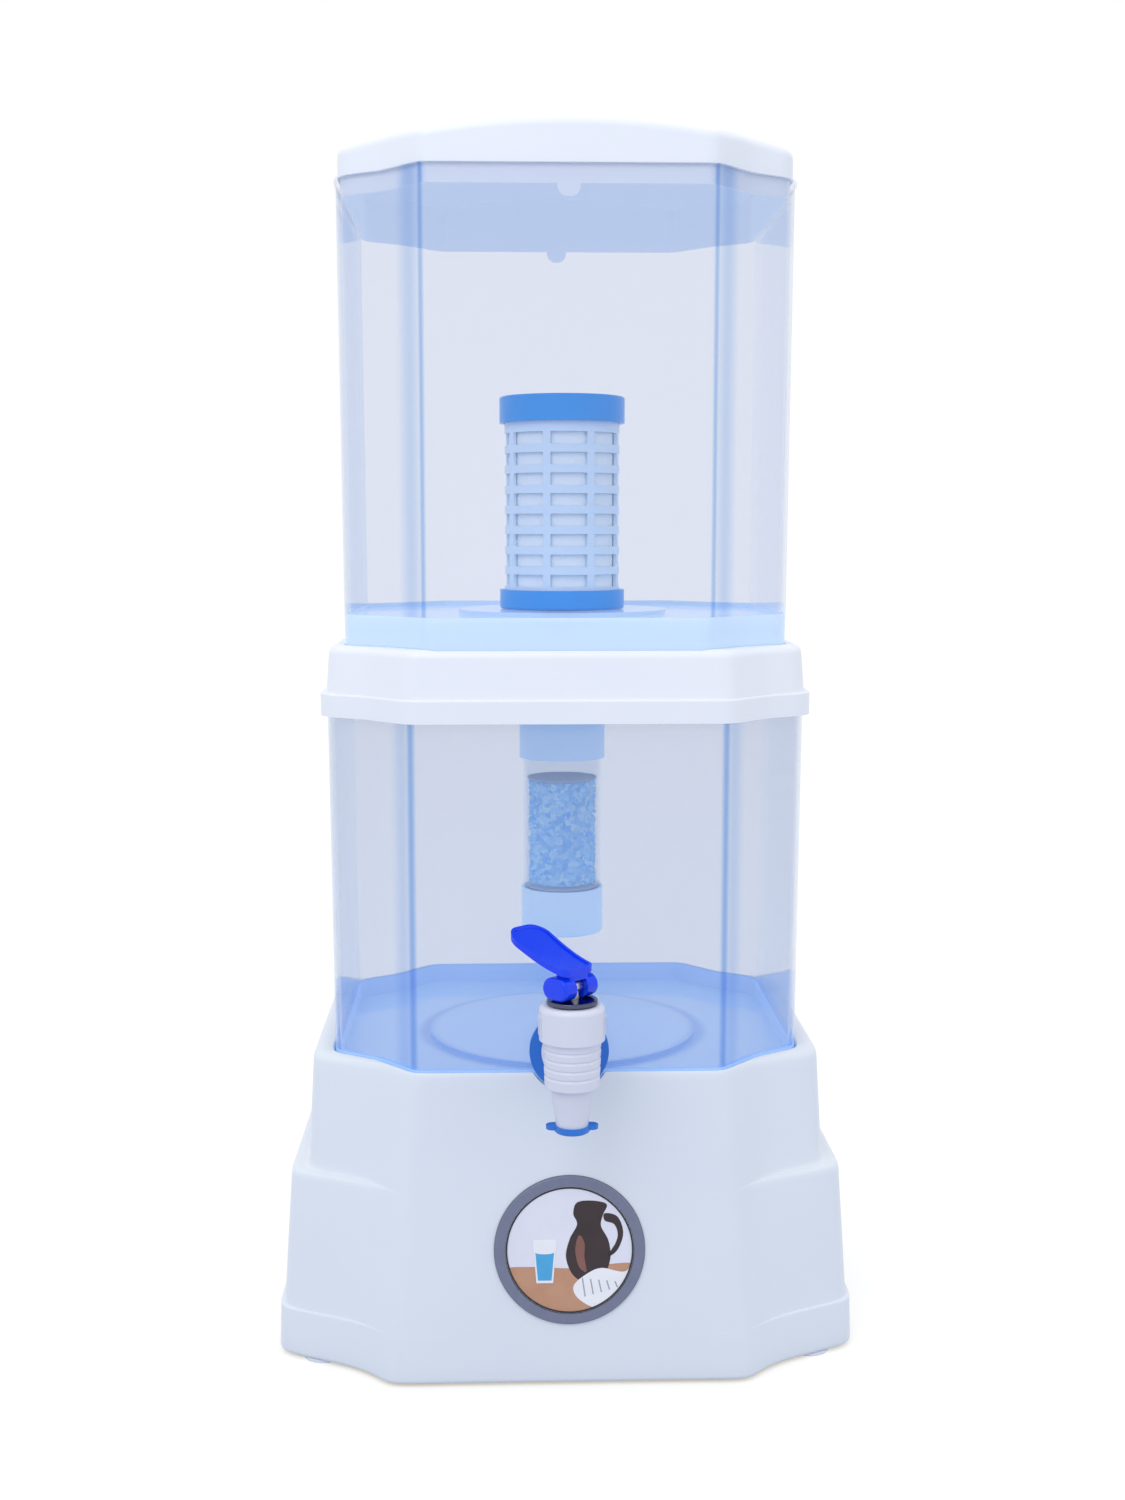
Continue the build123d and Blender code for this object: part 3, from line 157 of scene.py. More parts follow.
def stand_reach(angle, z, half_width, grow):
    """Outline of the stand at a height, for the tier half width found there. The valley between
    a tier's shoulder and the panel is filled softly, and the panel itself stays flat."""
    low = 1 - z / STAND_TOP
    half_depth = PANEL_DEPTH[0] + PANEL_DEPTH[1] * low
    half_panel = PANEL_WIDTH[0] + PANEL_WIDTH[1] * low
    panel = soft_reach(panel_sides(half_panel, half_depth, grow), angle, 2.2)
    tier = soft_reach(tier_sides(half_width, half_depth, SHOULDER, grow), angle, 4.6)
    across = abs(math.cos(angle)) / max(1e-6, abs(math.sin(angle)))
    fade = min(1.0, max(0.0, (across - 0.45) / 0.2))
    return max(panel, tier) + fade * 3.0 * math.log(1 + math.exp(-abs(panel - tier) / 3.0))


def pocket_reach(angle, grow):
    """Outline of the pocket that holds the tank."""
    width, depth, panel = TANK_FOOT
    front = soft_reach(panel_sides(panel, depth, grow), angle, 1.7)
    side = soft_reach(tier_sides(width, depth, TANK_SHOULDER, grow), angle, 3.7)
    return max(front, side) + 0.45 * math.log(1 + math.exp(-abs(front - side) / 0.45))


def rounded(corner, before, after, radius, steps=5):
    """Points that round a corner of the side profile, on the way from before to after."""
    cx, cz = corner
    ins = math.dist(corner, before)
    outs = math.dist(corner, after)
    a = (cx + (before[0] - cx) * radius / ins, cz + (before[1] - cz) * radius / ins)
    b = (cx + (after[0] - cx) * radius / outs, cz + (after[1] - cz) * radius / outs)
    points = []
    for i in range(steps + 1):
        t = i / steps
        points.append(((1 - t) ** 2 * a[0] + 2 * t * (1 - t) * cx + t * t * b[0],
                       (1 - t) ** 2 * a[1] + 2 * t * (1 - t) * cz + t * t * b[1]))
    return points


def side_profile():
    """Half width and height down the side of the stand, from the floor to the rim."""
    corners = [((FOOT_HALF, STAND_FOOT), 3.0), ((PLINTH_HALF, PLINTH_Z), 1.4),
               ((LEDGE_HALF, PLINTH_Z), 0.8), ((TREAD_HALF, TREAD_Z), 4.8),
               ((TIER_HALF, TREAD_Z), 3.4), ((TOP_HALF, STAND_TOP), RIM_ROUND)]
    ends = [(150.0, STAND_FOOT)] + [corner for corner, radius in corners] + [(130.0, STAND_TOP)]
    points = []
    for i, (corner, radius) in enumerate(corners):
        bend = rounded(corner, ends[i], ends[i + 2], radius)
        if points:
            last, start = points[-1], bend[0]
            steps = max(1, int(math.dist(last, start) / 6))
            points += [tuple(last[k] + (start[k] - last[k]) * step / steps for k in (0, 1))
                       for step in range(1, steps)]
        points += bend
    return points


def stand_rings(count):
    """Rings of points from the foot of the stand up its outside, into the pocket and back down
    its inside. A ring of one point closes the middle of the pocket's floor."""
    angles = [2 * math.pi * i / count for i in range(count)]
    rings = []

    def ring(reaches, heights):
        rings.append([(r * math.cos(a), r * math.sin(a), z)
                      for a, r, z in zip(angles, reaches, heights)])

    # Where the rim is narrow, its outer rounding stops short of the pocket's lip.
    rims = [stand_reach(a, STAND_TOP, TOP_HALF, 0.0) - pocket_reach(a, 2.6) for a in angles]
    rims = [min(RIM_ROUND, max(0.05, rim - 0.3)) for rim in rims]
    for half_width, z in side_profile():
        edge = max(0.0, z - (STAND_TOP - RIM_ROUND)) / RIM_ROUND
        low = max(0.0, STAND_FOOT + FOOT_ROUND - z) / FOOT_ROUND
        edge_in = 1 - math.sqrt(max(0.0, 1 - edge * edge))
        low_in = 2.2 * (1 - math.sqrt(max(0.0, 1 - low * low)))
        if edge:
            share = (STAND_TOP - z) / (STAND_TOP - TREAD_Z)
            half_width = TOP_HALF + (TIER_HALF - TOP_HALF) * share
        elif low:
            half_width = FOOT_HALF
        ring([stand_reach(a, z, half_width, -low_in - rim * edge_in)
              for a, rim in zip(angles, rims)], [z] * count)

    lip = [(2.6, STAND_TOP), (1.6, STAND_TOP - 0.4), (1.05, STAND_TOP - 1.4),
           (0.9, STAND_TOP - 4.0)]
    seat = [(0.9, POCKET_Z + 0.3), (-4.0, POCKET_Z), (-60.0, POCKET_Z)]
    for grow, z in lip + seat:
        ring([pocket_reach(a, grow) for a in angles], [z] * count)
    under = POCKET_Z - STAND_WALL
    rings.append([(0.0, 0.0, POCKET_Z)])
    rings.append([(0.0, 0.0, under)])
    ring([pocket_reach(a, -40.0) for a in angles], [under] * count)

    # Where there is room between pocket and outer wall, the hollow rises beside the pocket.
    walls, rooms = [], []
    for a in angles:
        room = stand_reach(a, POCKET_Z + 4.6, TOP_HALF, -STAND_WALL) - pocket_reach(a, 3.6)
        rooms.append(min(1.0, max(0.0, (room - 1.5) / 3.0)))
        wall = pocket_reach(a, 3.6)
        if rooms[-1] == 0:
            wall = min(wall, stand_reach(a, under, 143.4, -STAND_WALL) - 0.6)
        walls.append(wall)
    hollow = STAND_TOP - STAND_WALL - under
    for rise in (0.0, 0.5, 1.0):
        ring(walls, [under + hollow * rise * room for room in rooms])
    inner_tiers = [(TOP_HALF, STAND_TOP - STAND_WALL), (144.5, 134.5),
                   (TIER_HALF, TREAD_Z - STAND_WALL), (TREAD_HALF, TREAD_Z - STAND_WALL),
                   (157.9, 64.0), (LEDGE_HALF, PLINTH_Z - STAND_WALL),
                   (PLINTH_HALF, PLINTH_Z - STAND_WALL), (163.0, 4.5), (163.1, STAND_FOOT)]
    for half_width, z in inner_tiers:
        heights = [min(z, under + hollow * room) if z > under else z for room in rooms]
        ring([stand_reach(a, h, half_width, -STAND_WALL) for a, h in zip(angles, heights)], heights)
    return rings


def ringed_mesh(name, rings):
    """Closed mesh through rings of points in millimetres, the last ring joined to the first."""
    points, starts, faces = [], [], []
    for ring in rings:
        starts.append(len(points))
        points += [(x / 1000, y / 1000 + AXIS_Y, z / 1000) for x, y, z in ring]
    for r, ring in enumerate(rings):
        after = (r + 1) % len(rings)
        low, high = starts[r], starts[after]
        wide, next_wide = len(ring), len(rings[after])
        widest = max(wide, next_wide)
        for i in range(widest if widest > 1 else 0):
            k = i + 1
            if next_wide == 1:
                faces.append((low + i, low + k % wide, high))
            elif wide == 1:
                faces.append((low, high + k % next_wide, high + i))
            else:
                faces.append((low + i, low + k % wide, high + k % wide, high + i))
    mesh = bpy.data.meshes.new(name)
    mesh.from_pydata(points, [], faces)
    return mesh


def corner_plates(name):
    """The four plates inside the stand's corners that carry the feet, as one mesh."""
    points, faces = [], []
    for turn, signs in enumerate([(1, 1), (-1, 1), (-1, -1), (1, -1)]):
        corner = []
        for i in range(91):
            a = math.radians(i)
            reach = stand_reach(a, STAND_FOOT, 163.1, -STAND_WALL / 2)
            x, y = reach * math.cos(a), reach * math.sin(a)
            if x > PLATE_X and y > PLATE_Y:
                corner.append((x, y))
        corner += [(PLATE_X, corner[-1][1]), (PLATE_X, PLATE_Y), (corner[0][0], PLATE_Y)]
        corner = [(x * signs[0], y * signs[1]) for x, y in corner]
        if turn % 2:
            corner.reverse()
        first, count = len(points), len(corner)
        for z in (STAND_FOOT + 0.1, STAND_FOOT + 0.1 + PLATE_THICK):
            points += [(x / 1000, y / 1000 + AXIS_Y, z / 1000) for x, y in corner]
        faces.append(tuple(first + i for i in reversed(range(count))))
        faces.append(tuple(first + count + i for i in range(count)))
        for i in range(count):
            k = (i + 1) % count
            faces.append((first + i, first + k, first + count + k, first + count + i))
    mesh = bpy.data.meshes.new(name)
    mesh.from_pydata(points, [], faces)
    return mesh


def placed(name, mesh, material=None):
    """Object at the origin that shows a mesh."""
    made = bpy.data.objects.new(name, mesh)
    bpy.context.scene.collection.objects.link(made)
    if material:
        mesh.materials.clear()
        mesh.materials.append(material)
    return made


def settled(piece):
    """Swaps a piece's modifiers for the plain mesh that they give."""
    graph = bpy.context.evaluated_depsgraph_get()
    mesh = bpy.data.meshes.new_from_object(piece.evaluated_get(graph))
    piece.modifiers.clear()
    piece.data = mesh
    return piece


def round_bar(radius, start, end):
    """Mesh of a round bar between two points in millimetres, for cutting."""
    axis = Vector(end) - Vector(start)
    across = axis.orthogonal().normalized() * radius
    turn = Matrix.Rotation(2 * math.pi / 96, 3, axis)
    points, faces = [], []
    for middle in (Vector(start), Vector(end)):
        arm = across.copy()
        for i in range(96):
            x, y, z = middle + arm
            points.append((x / 1000, y / 1000 + AXIS_Y, z / 1000))
            arm = turn @ arm
    faces.append(tuple(reversed(range(96))))
    faces.append(tuple(range(96, 192)))
    faces += [(i, (i + 1) % 96, 96 + (i + 1) % 96, 96 + i) for i in range(96)]
    mesh = bpy.data.meshes.new("bar")
    mesh.from_pydata(points, [], faces)
    return mesh


def badge_point(right, up, out):
    """Point on the sloped front panel: right and up of the badge's middle, out of the panel."""
    slope = PANEL_DEPTH[1] / STAND_TOP
    steep = math.hypot(1.0, slope)
    panel_y = -PANEL_DEPTH[0] - PANEL_DEPTH[1] * (1 - BADGE_Z / STAND_TOP)
    return (right, panel_y + (up * slope - out) / steep, BADGE_Z + (up + out * slope) / steep)


# Injection-moulded polypropylene: slightly bluish white with a satin skin and faint soft clouds,
# as such milky plastic has. Real mould grain is about 0.1 mm; drawn at 0.9 mm so that it shows.
stand_polypropylene = moulded("stand_polypropylene", "#E0E7F1", "#DAE2EE", 0.36, 0.9)

stand = placed("stand_skin", ringed_mesh("stand_skin", stand_rings(480)), stand_polypropylene)
notch_bar = round_bar(NOTCH_RADIUS, (0, -140.0, TAP_Z), (0, -120.6, TAP_Z))
seat_bar = round_bar(BADGE_RADIUS, badge_point(0, 0, -1.0), badge_point(0, 0, 3.0))
cutters = [placed("notch_cutter", notch_bar), placed("seat_cutter", seat_bar)]
for cutter in cutters:
    cut = stand.modifiers.new("cut", "BOOLEAN")
    cut.operation = "DIFFERENCE"
    cut.object = cutter
settled(stand)
for cutter in cutters:
    bpy.data.objects.remove(cutter)
stand.data.shade_smooth()
stand.data.set_sharp_from_angle(angle=math.radians(34))
plates = placed("stand_corner_plates", corner_plates("stand_corner_plates"), stand_polypropylene)
for piece in (stand, plates):
    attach(piece, "base")
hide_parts("base_stand")

# ---------------------------------------------------------------------------------------------
# Feet. Four soft rubber pads, each with a stud pushed into its corner plate.

# Silicone rubber, moulded: pale grey and dull, so the feet hardly show under the stand.
foot_rubber = moulded("pale_silicone_rubber", "#E6E9F2", "#DDE1EC", 0.82, 0.6, grain=0.12)
finish_node("base_feet", foot_rubber)

# ---------------------------------------------------------------------------------------------
# Badge. A moulded ring holds a printed disc in a round seat in the front panel. The print is a
# plain still life: a dark jug and a glass of water on a board, with a striped cloth.

# ABS ring with a slate-grey painted skin: satin, slightly metallic flakes in fine clouds.
badge_paint = moulded("slate_painted_abs", "#767C96", "#6A7089", 0.38, 0.7, grain=0.05, cloud=160.0)
finish_node("badge_ring", badge_paint)
# Printed polystyrene: a pale lilac-grey ground under a thin satin varnish.
print_ground = moulded("printed_polystyrene", "#E6E8F6", "#DADDEE", 0.42, 1.2, grain=0.02,
                       cloud=60.0)
finish_node("badge_plate", print_ground)

PRINT_RADIUS = 34.6
PRINT_LEVEL = 0.6  # the disc's face over the panel


def smooth_loop(points, steps=8):
    """Closed smooth curve through points on the badge."""
    count = len(points)
    loop = []
    for i in range(count):
        a, b, c, d = (points[(i + k) % count] for k in (-1, 0, 1, 2))
        for s in range(steps):
            t = s / steps
            loop.append(tuple(
                0.5 * (2 * b[k] + (c[k] - a[k]) * t
                       + (2 * a[k] - 5 * b[k] + 4 * c[k] - d[k]) * t * t
                       + (3 * b[k] - a[k] - 3 * c[k] + d[k]) * t ** 3) for k in (0, 1)))
    return loop


def print_piece(name, points, faces, level, material):
    """Thin printed film at a level over the badge's disc."""
    placed_points = []
    for x, y in points:
        px, py, pz = badge_point(x, y, level)
        placed_points.append((px / 1000, py / 1000 + AXIS_Y, pz / 1000))
    mesh = bpy.data.meshes.new(name)
    mesh.from_pydata(placed_points, [], faces)
    piece = placed(name, mesh, material)
    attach(piece, "base")


def print_shape(name, loop, layer, material):
    """Printed shape, held inside the disc's edge. Each layer lies a little over the last."""
    inside = []
    for x, y in loop:
        shrink = min(1.0, PRINT_RADIUS / max(1e-6, math.hypot(x, y)))
        inside.append((x * shrink, y * shrink))
    print_piece(name, inside, [tuple(range(len(inside)))], PRINT_LEVEL + 0.04 * layer, material)


def ellipse(x, y, half_width, half_height, count=48):
    """Points round an ellipse on the badge."""
    turns = [2 * math.pi * i / count for i in range(count)]
    return [(x + half_width * math.cos(t), y + half_height * math.sin(t)) for t in turns]


# Printing inks: flat satin films whose tone drifts a little across the print, as screen ink does.
ink_board = moulded("ink_tan", "#C79A80", "#B48468", 0.45, 1.0, cloud=90.0)
ink_jug = moulded("ink_dark_brown", "#33222A", "#22161C", 0.4, 1.0, cloud=90.0)
ink_glaze = moulded("ink_warm_brown", "#8A5F57", "#6E463F", 0.4, 1.0, cloud=110.0)
ink_cloth = moulded("ink_white", "#F4F5FB", "#E6E8F2", 0.45, 1.0, cloud=90.0)
ink_stripe = moulded("ink_grey", "#A9ADBF", "#9A9EB2", 0.45, 1.0, cloud=90.0)
ink_water = moulded("ink_azure", "#58B4E6", "#3C9BD6", 0.4, 1.0, cloud=90.0)
ink_line = moulded("ink_black", "#23242E", "#1B1C24", 0.4, 1.0, cloud=90.0)

drawing = [
    ("print_board", 1, ink_board, [(-36, -11), (-20, -9), (0, -10), (20, -8), (36, -9), (26, -26),
                                   (0, -36), (-26, -26)]),
    ("print_jug", 2, ink_jug, [(4, 26), (2, 20), (4, 14), (0, 6), (-2, -4), (2, -14), (10, -18),
                               (18, -15), (22, -5), (21, 5), (17, 13), (18, 19), (20, 25),
                               (12, 27)]),
    ("print_jug_handle", 2, ink_jug, [(19, 20), (26, 18), (29, 9), (26, 0), (21, -4), (22, -1),
                                      (25, 4), (26, 9), (24, 14), (19, 16)]),
    ("print_jug_glaze", 3, ink_glaze, [(5, 8), (3, 0), (5, -9), (9, -12), (8, -4), (8, 4)]),
    ("print_cloth", 4, ink_cloth, [(8, -14), (17, -10), (30, -12), (36, -4), (34, -14), (28, -24),
                                   (16, -32), (5, -27), (2, -20)])]
for name, layer, ink, points in drawing:
    print_shape(name, smooth_loop(points), layer, ink)
for k in range(6):
    x, high, low = 6.5 + 4.4 * k, -15.5 - 0.5 * k, -25.7 + 1.2 * k
    stripe = [(x, high), (x + 0.7, high + 0.2), (x + 2.2, low + 0.2), (x + 1.5, low)]
    print_shape(f"print_stripe_{k}", stripe, 5, ink_stripe)
print_shape("print_glass", [(-20, 6), (-7, 6), (-9, -18), (-18, -18)], 4, ink_cloth)
print_shape("print_water", [(-18.6, -1), (-8.4, -1), (-9.8, -16.6), (-17.2, -16.6)], 5, ink_water)
print_shape("print_water_top", ellipse(-13.5, -1, 5.1, 1.1), 6, ink_cloth)
rim_line = ellipse(0, 0, 34.6, 34.6, 96) + ellipse(0, 0, 33.7, 33.7, 96)
rim_faces = [(i, (i + 1) % 96, 96 + (i + 1) % 96, 96 + i) for i in range(96)]
print_piece("print_rim", rim_line, rim_faces, PRINT_LEVEL + 0.3, ink_line)

# ---------------------------------------------------------------------------------------------
# Lower tank. Injection-moulded clear plastic, slightly blue, with a stepped plan. Where the wall
# turns a corner one looks along it, so its blue shows as a thin upright line, here painted in. Its
# thick floor has a round field in the middle.


def between(tree, value, low, high):
    """One where a value in metres lies between two sizes in millimetres, and zero elsewhere."""
    above = add(tree, "ShaderNodeMath", {0: value, 1: low / 1000}, operation="GREATER_THAN")
    below = add(tree, "ShaderNodeMath", {0: value, 1: high / 1000}, operation="LESS_THAN")
    return add(tree, "ShaderNodeMath", {0: above, 1: below}, operation="MULTIPLY")


def bump_at(tree, value, at, half, height):
    """Soft bump round one size in millimetres, for a value in metres."""
    off = add(tree, "ShaderNodeMath", {0: value, 1: at / 1000}, operation="SUBTRACT")
    away = add(tree, "ShaderNodeMath", {0: off}, operation="ABSOLUTE")
    return add(tree, "ShaderNodeMapRange", {"Value": away, "From Max": half / 1000,
                                            "To Min": height, "To Max": 0.0},
               interpolation_type="SMOOTHSTEP")


def clear_plastic(name, wall_tint, deep_tint, milk, lines=(), frost=None, ring=None):
    """Clear moulded plastic that lets light straight through. Its tints are for one surface, face
    on and edge on, and milk is the milky share, likewise. Sizes are in millimetres. Lines are the
    half widths at which a front corner's painted upright line of deeper blue stands, with half
    width and strength. Frost is a zone between two heights where the plastic is milky, with its
    share, colour and painted glow. Ring is the radius, half width and strength of a painted darker
    ring in that zone."""
    material, tree = blank_material(name)
    place = add(tree, "ShaderNodeTexCoord").outputs["Object"]
    apart = add(tree, "ShaderNodeSeparateXYZ", {0: place}).outputs
    facing = add(tree, "ShaderNodeLayerWeight", {"Blend": 0.12}).outputs["Facing"]

    # Blue of the plastic: deeper where the wall is seen edge on, and in the corners' painted lines.
    depth = add(tree, "ShaderNodeMapRange", {"Value": facing, "From Min": 0.3, "From Max": 0.7})
    front = add(tree, "ShaderNodeMath", {0: apart["Y"], 1: AXIS_Y}, operation="LESS_THAN")
    side = add(tree, "ShaderNodeMath", {0: apart["X"]}, operation="ABSOLUTE")
    for at, half, strength in lines:
        line = bump_at(tree, side, at, half, strength)
        line = add(tree, "ShaderNodeMath", {0: line, 1: front}, operation="MULTIPLY")
        depth = add(tree, "ShaderNodeMath", {0: depth, 1: line}, operation="MAXIMUM")
    tint = add(tree, "ShaderNodeMix", {0: depth, 6: linear(wall_tint), 7: linear(deep_tint)},
               data_type="RGBA")
    through = add(tree, "ShaderNodeBsdfTransparent", {"Color": tint.outputs[2]})

    # Milky share, its colour, and a painted glow for the light that the thick floor gathers.
    share = add(tree, "ShaderNodeMapRange", {"Value": facing, "From Min": 0.25, "From Max": 0.6,
                                             "To Min": milk[0], "To Max": milk[1]})
    colour, glow, clear = linear("#DCE8FA"), 0.0, 1.0
    if frost:
        low, high, frost_share, frost_colour, frost_glow = frost
        zone = between(tree, apart["Z"], low, high)
        milky = add(tree, "ShaderNodeMath", {0: zone, 1: frost_share}, operation="MULTIPLY")
        share = add(tree, "ShaderNodeMath", {0: share, 1: milky}, operation="MAXIMUM")
        colour = add(tree, "ShaderNodeMix", {0: zone, 6: colour, 7: linear(frost_colour)},
                     data_type="RGBA").outputs[2]
        glow = add(tree, "ShaderNodeMath", {0: zone, 1: frost_glow}, operation="MULTIPLY")
        clear = add(tree, "ShaderNodeMath", {0: 1.0, 1: zone}, operation="SUBTRACT")
    # Painted shade: a darker blue ring in the milky zone, standing in for the shading of the
    # floor's step.
    if ring:
        centre = add(tree, "ShaderNodeCombineXYZ", {"Y": AXIS_Y, "Z": apart["Z"]})
        reach = add(tree, "ShaderNodeVectorMath", {0: place, 1: centre}, operation="DISTANCE")
        shade = bump_at(tree, reach.outputs["Value"], *ring)
        shade = add(tree, "ShaderNodeMath", {0: shade, 1: zone}, operation="MULTIPLY")
        colour = add(tree, "ShaderNodeMix", {0: shade, 6: colour, 7: linear("#5E9AE6")},
                     data_type="RGBA").outputs[2]
    waves = add(tree, "ShaderNodeTexNoise", {"Vector": place, "Scale": 30.0, "Detail": 1.0})
    bump = add(tree, "ShaderNodeBump", {"Height": waves, "Strength": 0.08, "Distance": 0.001})
    skin = add(tree, "ShaderNodeBsdfPrincipled", {
        "Base Color": colour, "Roughness": 0.1, "IOR": 1.45, "Emission Color": colour,
        "Emission Strength": glow, "Normal": bump})
    both = add(tree, "ShaderNodeMixShader", {0: share, 1: through, 2: skin})

    # Walls seen almost edge on mirror what stands round them.
    rim = add(tree, "ShaderNodeMapRange", {"Value": facing, "From Min": 0.44, "From Max": 0.56})
    sheen = add(tree, "ShaderNodeMix", {0: rim, 6: (1, 1, 1, 1), 7: linear("#78ACE8")},
                data_type="RGBA")
    mirror = add(tree, "ShaderNodeBsdfAnisotropic", {"Color": sheen.outputs[2], "Roughness": 0.03})
    graze = add(tree, "ShaderNodeMapRange", {"Value": facing, "From Min": 0.18, "From Max": 0.4,
                                             "To Max": 0.55})
    graze = add(tree, "ShaderNodeMath", {0: graze, 1: clear}, operation="MULTIPLY")
    whole = add(tree, "ShaderNodeMixShader", {0: graze, 1: both, 2: mirror})
    add(tree, "ShaderNodeOutputMaterial", {"Surface": whole})
    return material


# Styrene-acrylonitrile, blue-tinted: nearly clear face on, and blue where it is seen edge on. The
# lines and the ring are painted shade, and the floor's milky zone and its glow are painted light.
# They stand in for light that the real walls bend and gather.
lower_tank_plastic = clear_plastic(
    "blue_tinted_san_lower", "#F5F6F9", "#BAD4F2", (0.11, 0.18),
    lines=[(84.0, 3.2, 0.85), (89.0, 7.0, 0.28)],
    frost=(157.0, 172.0, 0.88, "#B2D6FF", 0.16), ring=(82.0, 8.0, 0.55))
finish_node("lower_tank", lower_tank_plastic)

# ---------------------------------------------------------------------------------------------
# Tap. A white barrel with a spout, screwed through the lower tank's front wall between two blue
# washers, a ribbed bonnet, and a deep-blue lever on a steel ring that lifts the stem.

# Acetal, injection moulded: warm-lilac white with a satin sheen, a little darker than the stand.
acetal = moulded("white_acetal", "#DADDEC", "#D2D6E7", 0.3, 0.9)
for name in ("tap_body", "tap_bonnet", "tap_nut", "outlet_nut"):
    finish_node(name, acetal)
# Thermoplastic rubber, dyed blue: satin, so it shows no hard highlight.
blue_rubber = moulded("blue_rubber", "#2475D6", "#1D69CA", 0.5, 0.8, grain=0.08)
for name in ("tap_washer_outer", "tap_washer_inner"):
    finish_node(name, blue_rubber)
# Polyethylene, dyed mid blue: soft gloss.
blue_polyethylene = moulded("blue_polyethylene", "#2078DA", "#196DCE", 0.35, 0.8)
finish_node("spout_ring", blue_polyethylene)
# ABS, deep blue, polished mould: bright gloss with sharp small highlights.
lever_abs = moulded("deep_blue_abs", "#0140F6", "#0034E8", 0.15, 0.8, grain=0.015, ior=1.4)
finish_node("tap_lever", lever_abs)
# Natural silicone rubber: pale grey, matt.
silicone = moulded("grey_silicone", "#D6D9E1", "#CBCFD9", 0.62, 0.8, grain=0.06)
for name in ("outlet_seal", "filter_base_seal", "cartridge_seal", "tap_plug"):
    finish_node(name, silicone)


def turned_steel(name, colour, roughness, line_mm):
    """Metal with the fine rings that turning or drawing leaves along it."""
    material, tree = blank_material(name)
    place = add(tree, "ShaderNodeTexCoord").outputs["Object"]
    lines = add(tree, "ShaderNodeTexWave", {"Vector": place, "Scale": 1000.0 / line_mm / 20,
                                            "Distortion": 0.4}, bands_direction="Z").outputs["Fac"]
    rough = add(tree, "ShaderNodeMapRange", {"Value": lines, "To Min": roughness,
                                             "To Max": roughness + 0.08})
    bump = add(tree, "ShaderNodeBump", {"Height": lines, "Strength": 0.05, "Distance": 0.0002})
    skin = add(tree, "ShaderNodeBsdfPrincipled", {
        "Base Color": linear(colour), "Metallic": 1.0, "Roughness": rough, "Normal": bump})
    add(tree, "ShaderNodeOutputMaterial", {"Surface": skin})
    return material


# Chromed steel ring, drawn dark: its dark base colour is a painted reflection of dark surroundings,
# and its bright gloss is the metal's own. Turning lines are drawn at 0.4 mm.
ring_steel = turned_steel("chrome_steel_painted_reflection", "#55586E", 0.16, 0.4)
finish_node("swivel_ring", ring_steel)
# Stainless steel, turned or drawn: the stem, the pin and the spring.
stainless = turned_steel("stainless_steel", "#C2C4CA", 0.24, 0.4)
for name in ("tap_stem", "lever_pin"):
    finish_node(name, stainless)

# The closing spring stands on the plug, and the rising stem squeezes it against the bonnet.
coil = nodes["tap_spring"].data.copy()
coil.transform(nodes["tap_spring"].matrix_world)
spring = placed("closing_spring", coil, stainless)
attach(spring, "tap_swivel")
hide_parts("tap_spring")
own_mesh(spring)

# ---------------------------------------------------------------------------------------------
# Cover between the tanks. The same white moulding as the stand; its flange sits over the lower
# tank's rim, and its raised rim holds the upper tank.

# The same polypropylene as the stand. It is drawn a shade lighter, which stands in for brighter
# light higher up; the real plastic is most likely one white throughout.
cover_polypropylene = moulded("white_polypropylene", "#ECF0F9", "#E7ECF6", 0.36, 0.9)
finish_node("mid_cover", cover_polypropylene)

# ---------------------------------------------------------------------------------------------
# Upper tank. The same clear plastic as the lower one, drawn a little clearer. Its raised floor
# and the skirt below are lightly frosted, so the nut behind doesn't show.

# Styrene-acrylonitrile, blue-tinted: as the lower tank, with paler painted lines in its corners,
# and a painted glow in its frosted zone.
upper_tank_plastic = clear_plastic(
    "blue_tinted_san_upper", "#F8F9FC", "#C2D9F4", (0.045, 0.14),
    lines=[(76.5, 2.2, 0.7), (83.0, 8.0, 0.36)], frost=(389.0, 415.6, 0.8, "#D0E6FD", 0.12))
finish_node("upper_tank", upper_tank_plastic)

# ---------------------------------------------------------------------------------------------
# Sediment filter. Two bright-blue push-on caps hold a slotted cage round a sleeve of fibre on a
# perforated tube; the lower cap's stud passes through the tank's floor.

# ABS, azure: moulded, soft gloss.
cap_abs = moulded("azure_abs", "#049CF0", "#0292E6", 0.28, 0.8)
for name in ("filter_top_cap", "filter_base_cap"):
    finish_node(name, cap_abs)

CAGE_RADIUS, CAGE_WALL = 33.5, 2.0
CAGE_LOW, CAGE_HIGH = 418.9, 535.3
CAGE_FIRST, CAGE_LAST = 428.9, 517.1  # lowest and highest window edge
CAGE_ROWS, CAGE_COLUMNS = 8, 8
CAGE_HOOP, CAGE_BAR = 4.5, 4.2
CAGE_FIRST_BAR = -107.0  # one bar stands at this many degrees, seen from above


def recipe(name, sizes):
    """Empty Geometry Nodes recipe with a named input for each size, and its input sockets."""
    tree = bpy.data.node_groups.new(name, "GeometryNodeTree")
    tree.interface.new_socket("Geometry", in_out="OUTPUT", socket_type="NodeSocketGeometry")
    for size, value in sizes.items():
        kind = "NodeSocketInt" if isinstance(value, int) else "NodeSocketFloat"
        tree.interface.new_socket(size, in_out="INPUT", socket_type=kind)
    return tree, add(tree, "NodeGroupInput").outputs


def finish_recipe(tree, geometry, material):
    """Ends a recipe: plain mesh, with its material."""
    plain = add(tree, "GeometryNodeRealizeInstances", {0: geometry})
    dressed = add(tree, "GeometryNodeSetMaterial", {0: plain, "Material": material})
    add(tree, "NodeGroupOutput", {0: dressed})


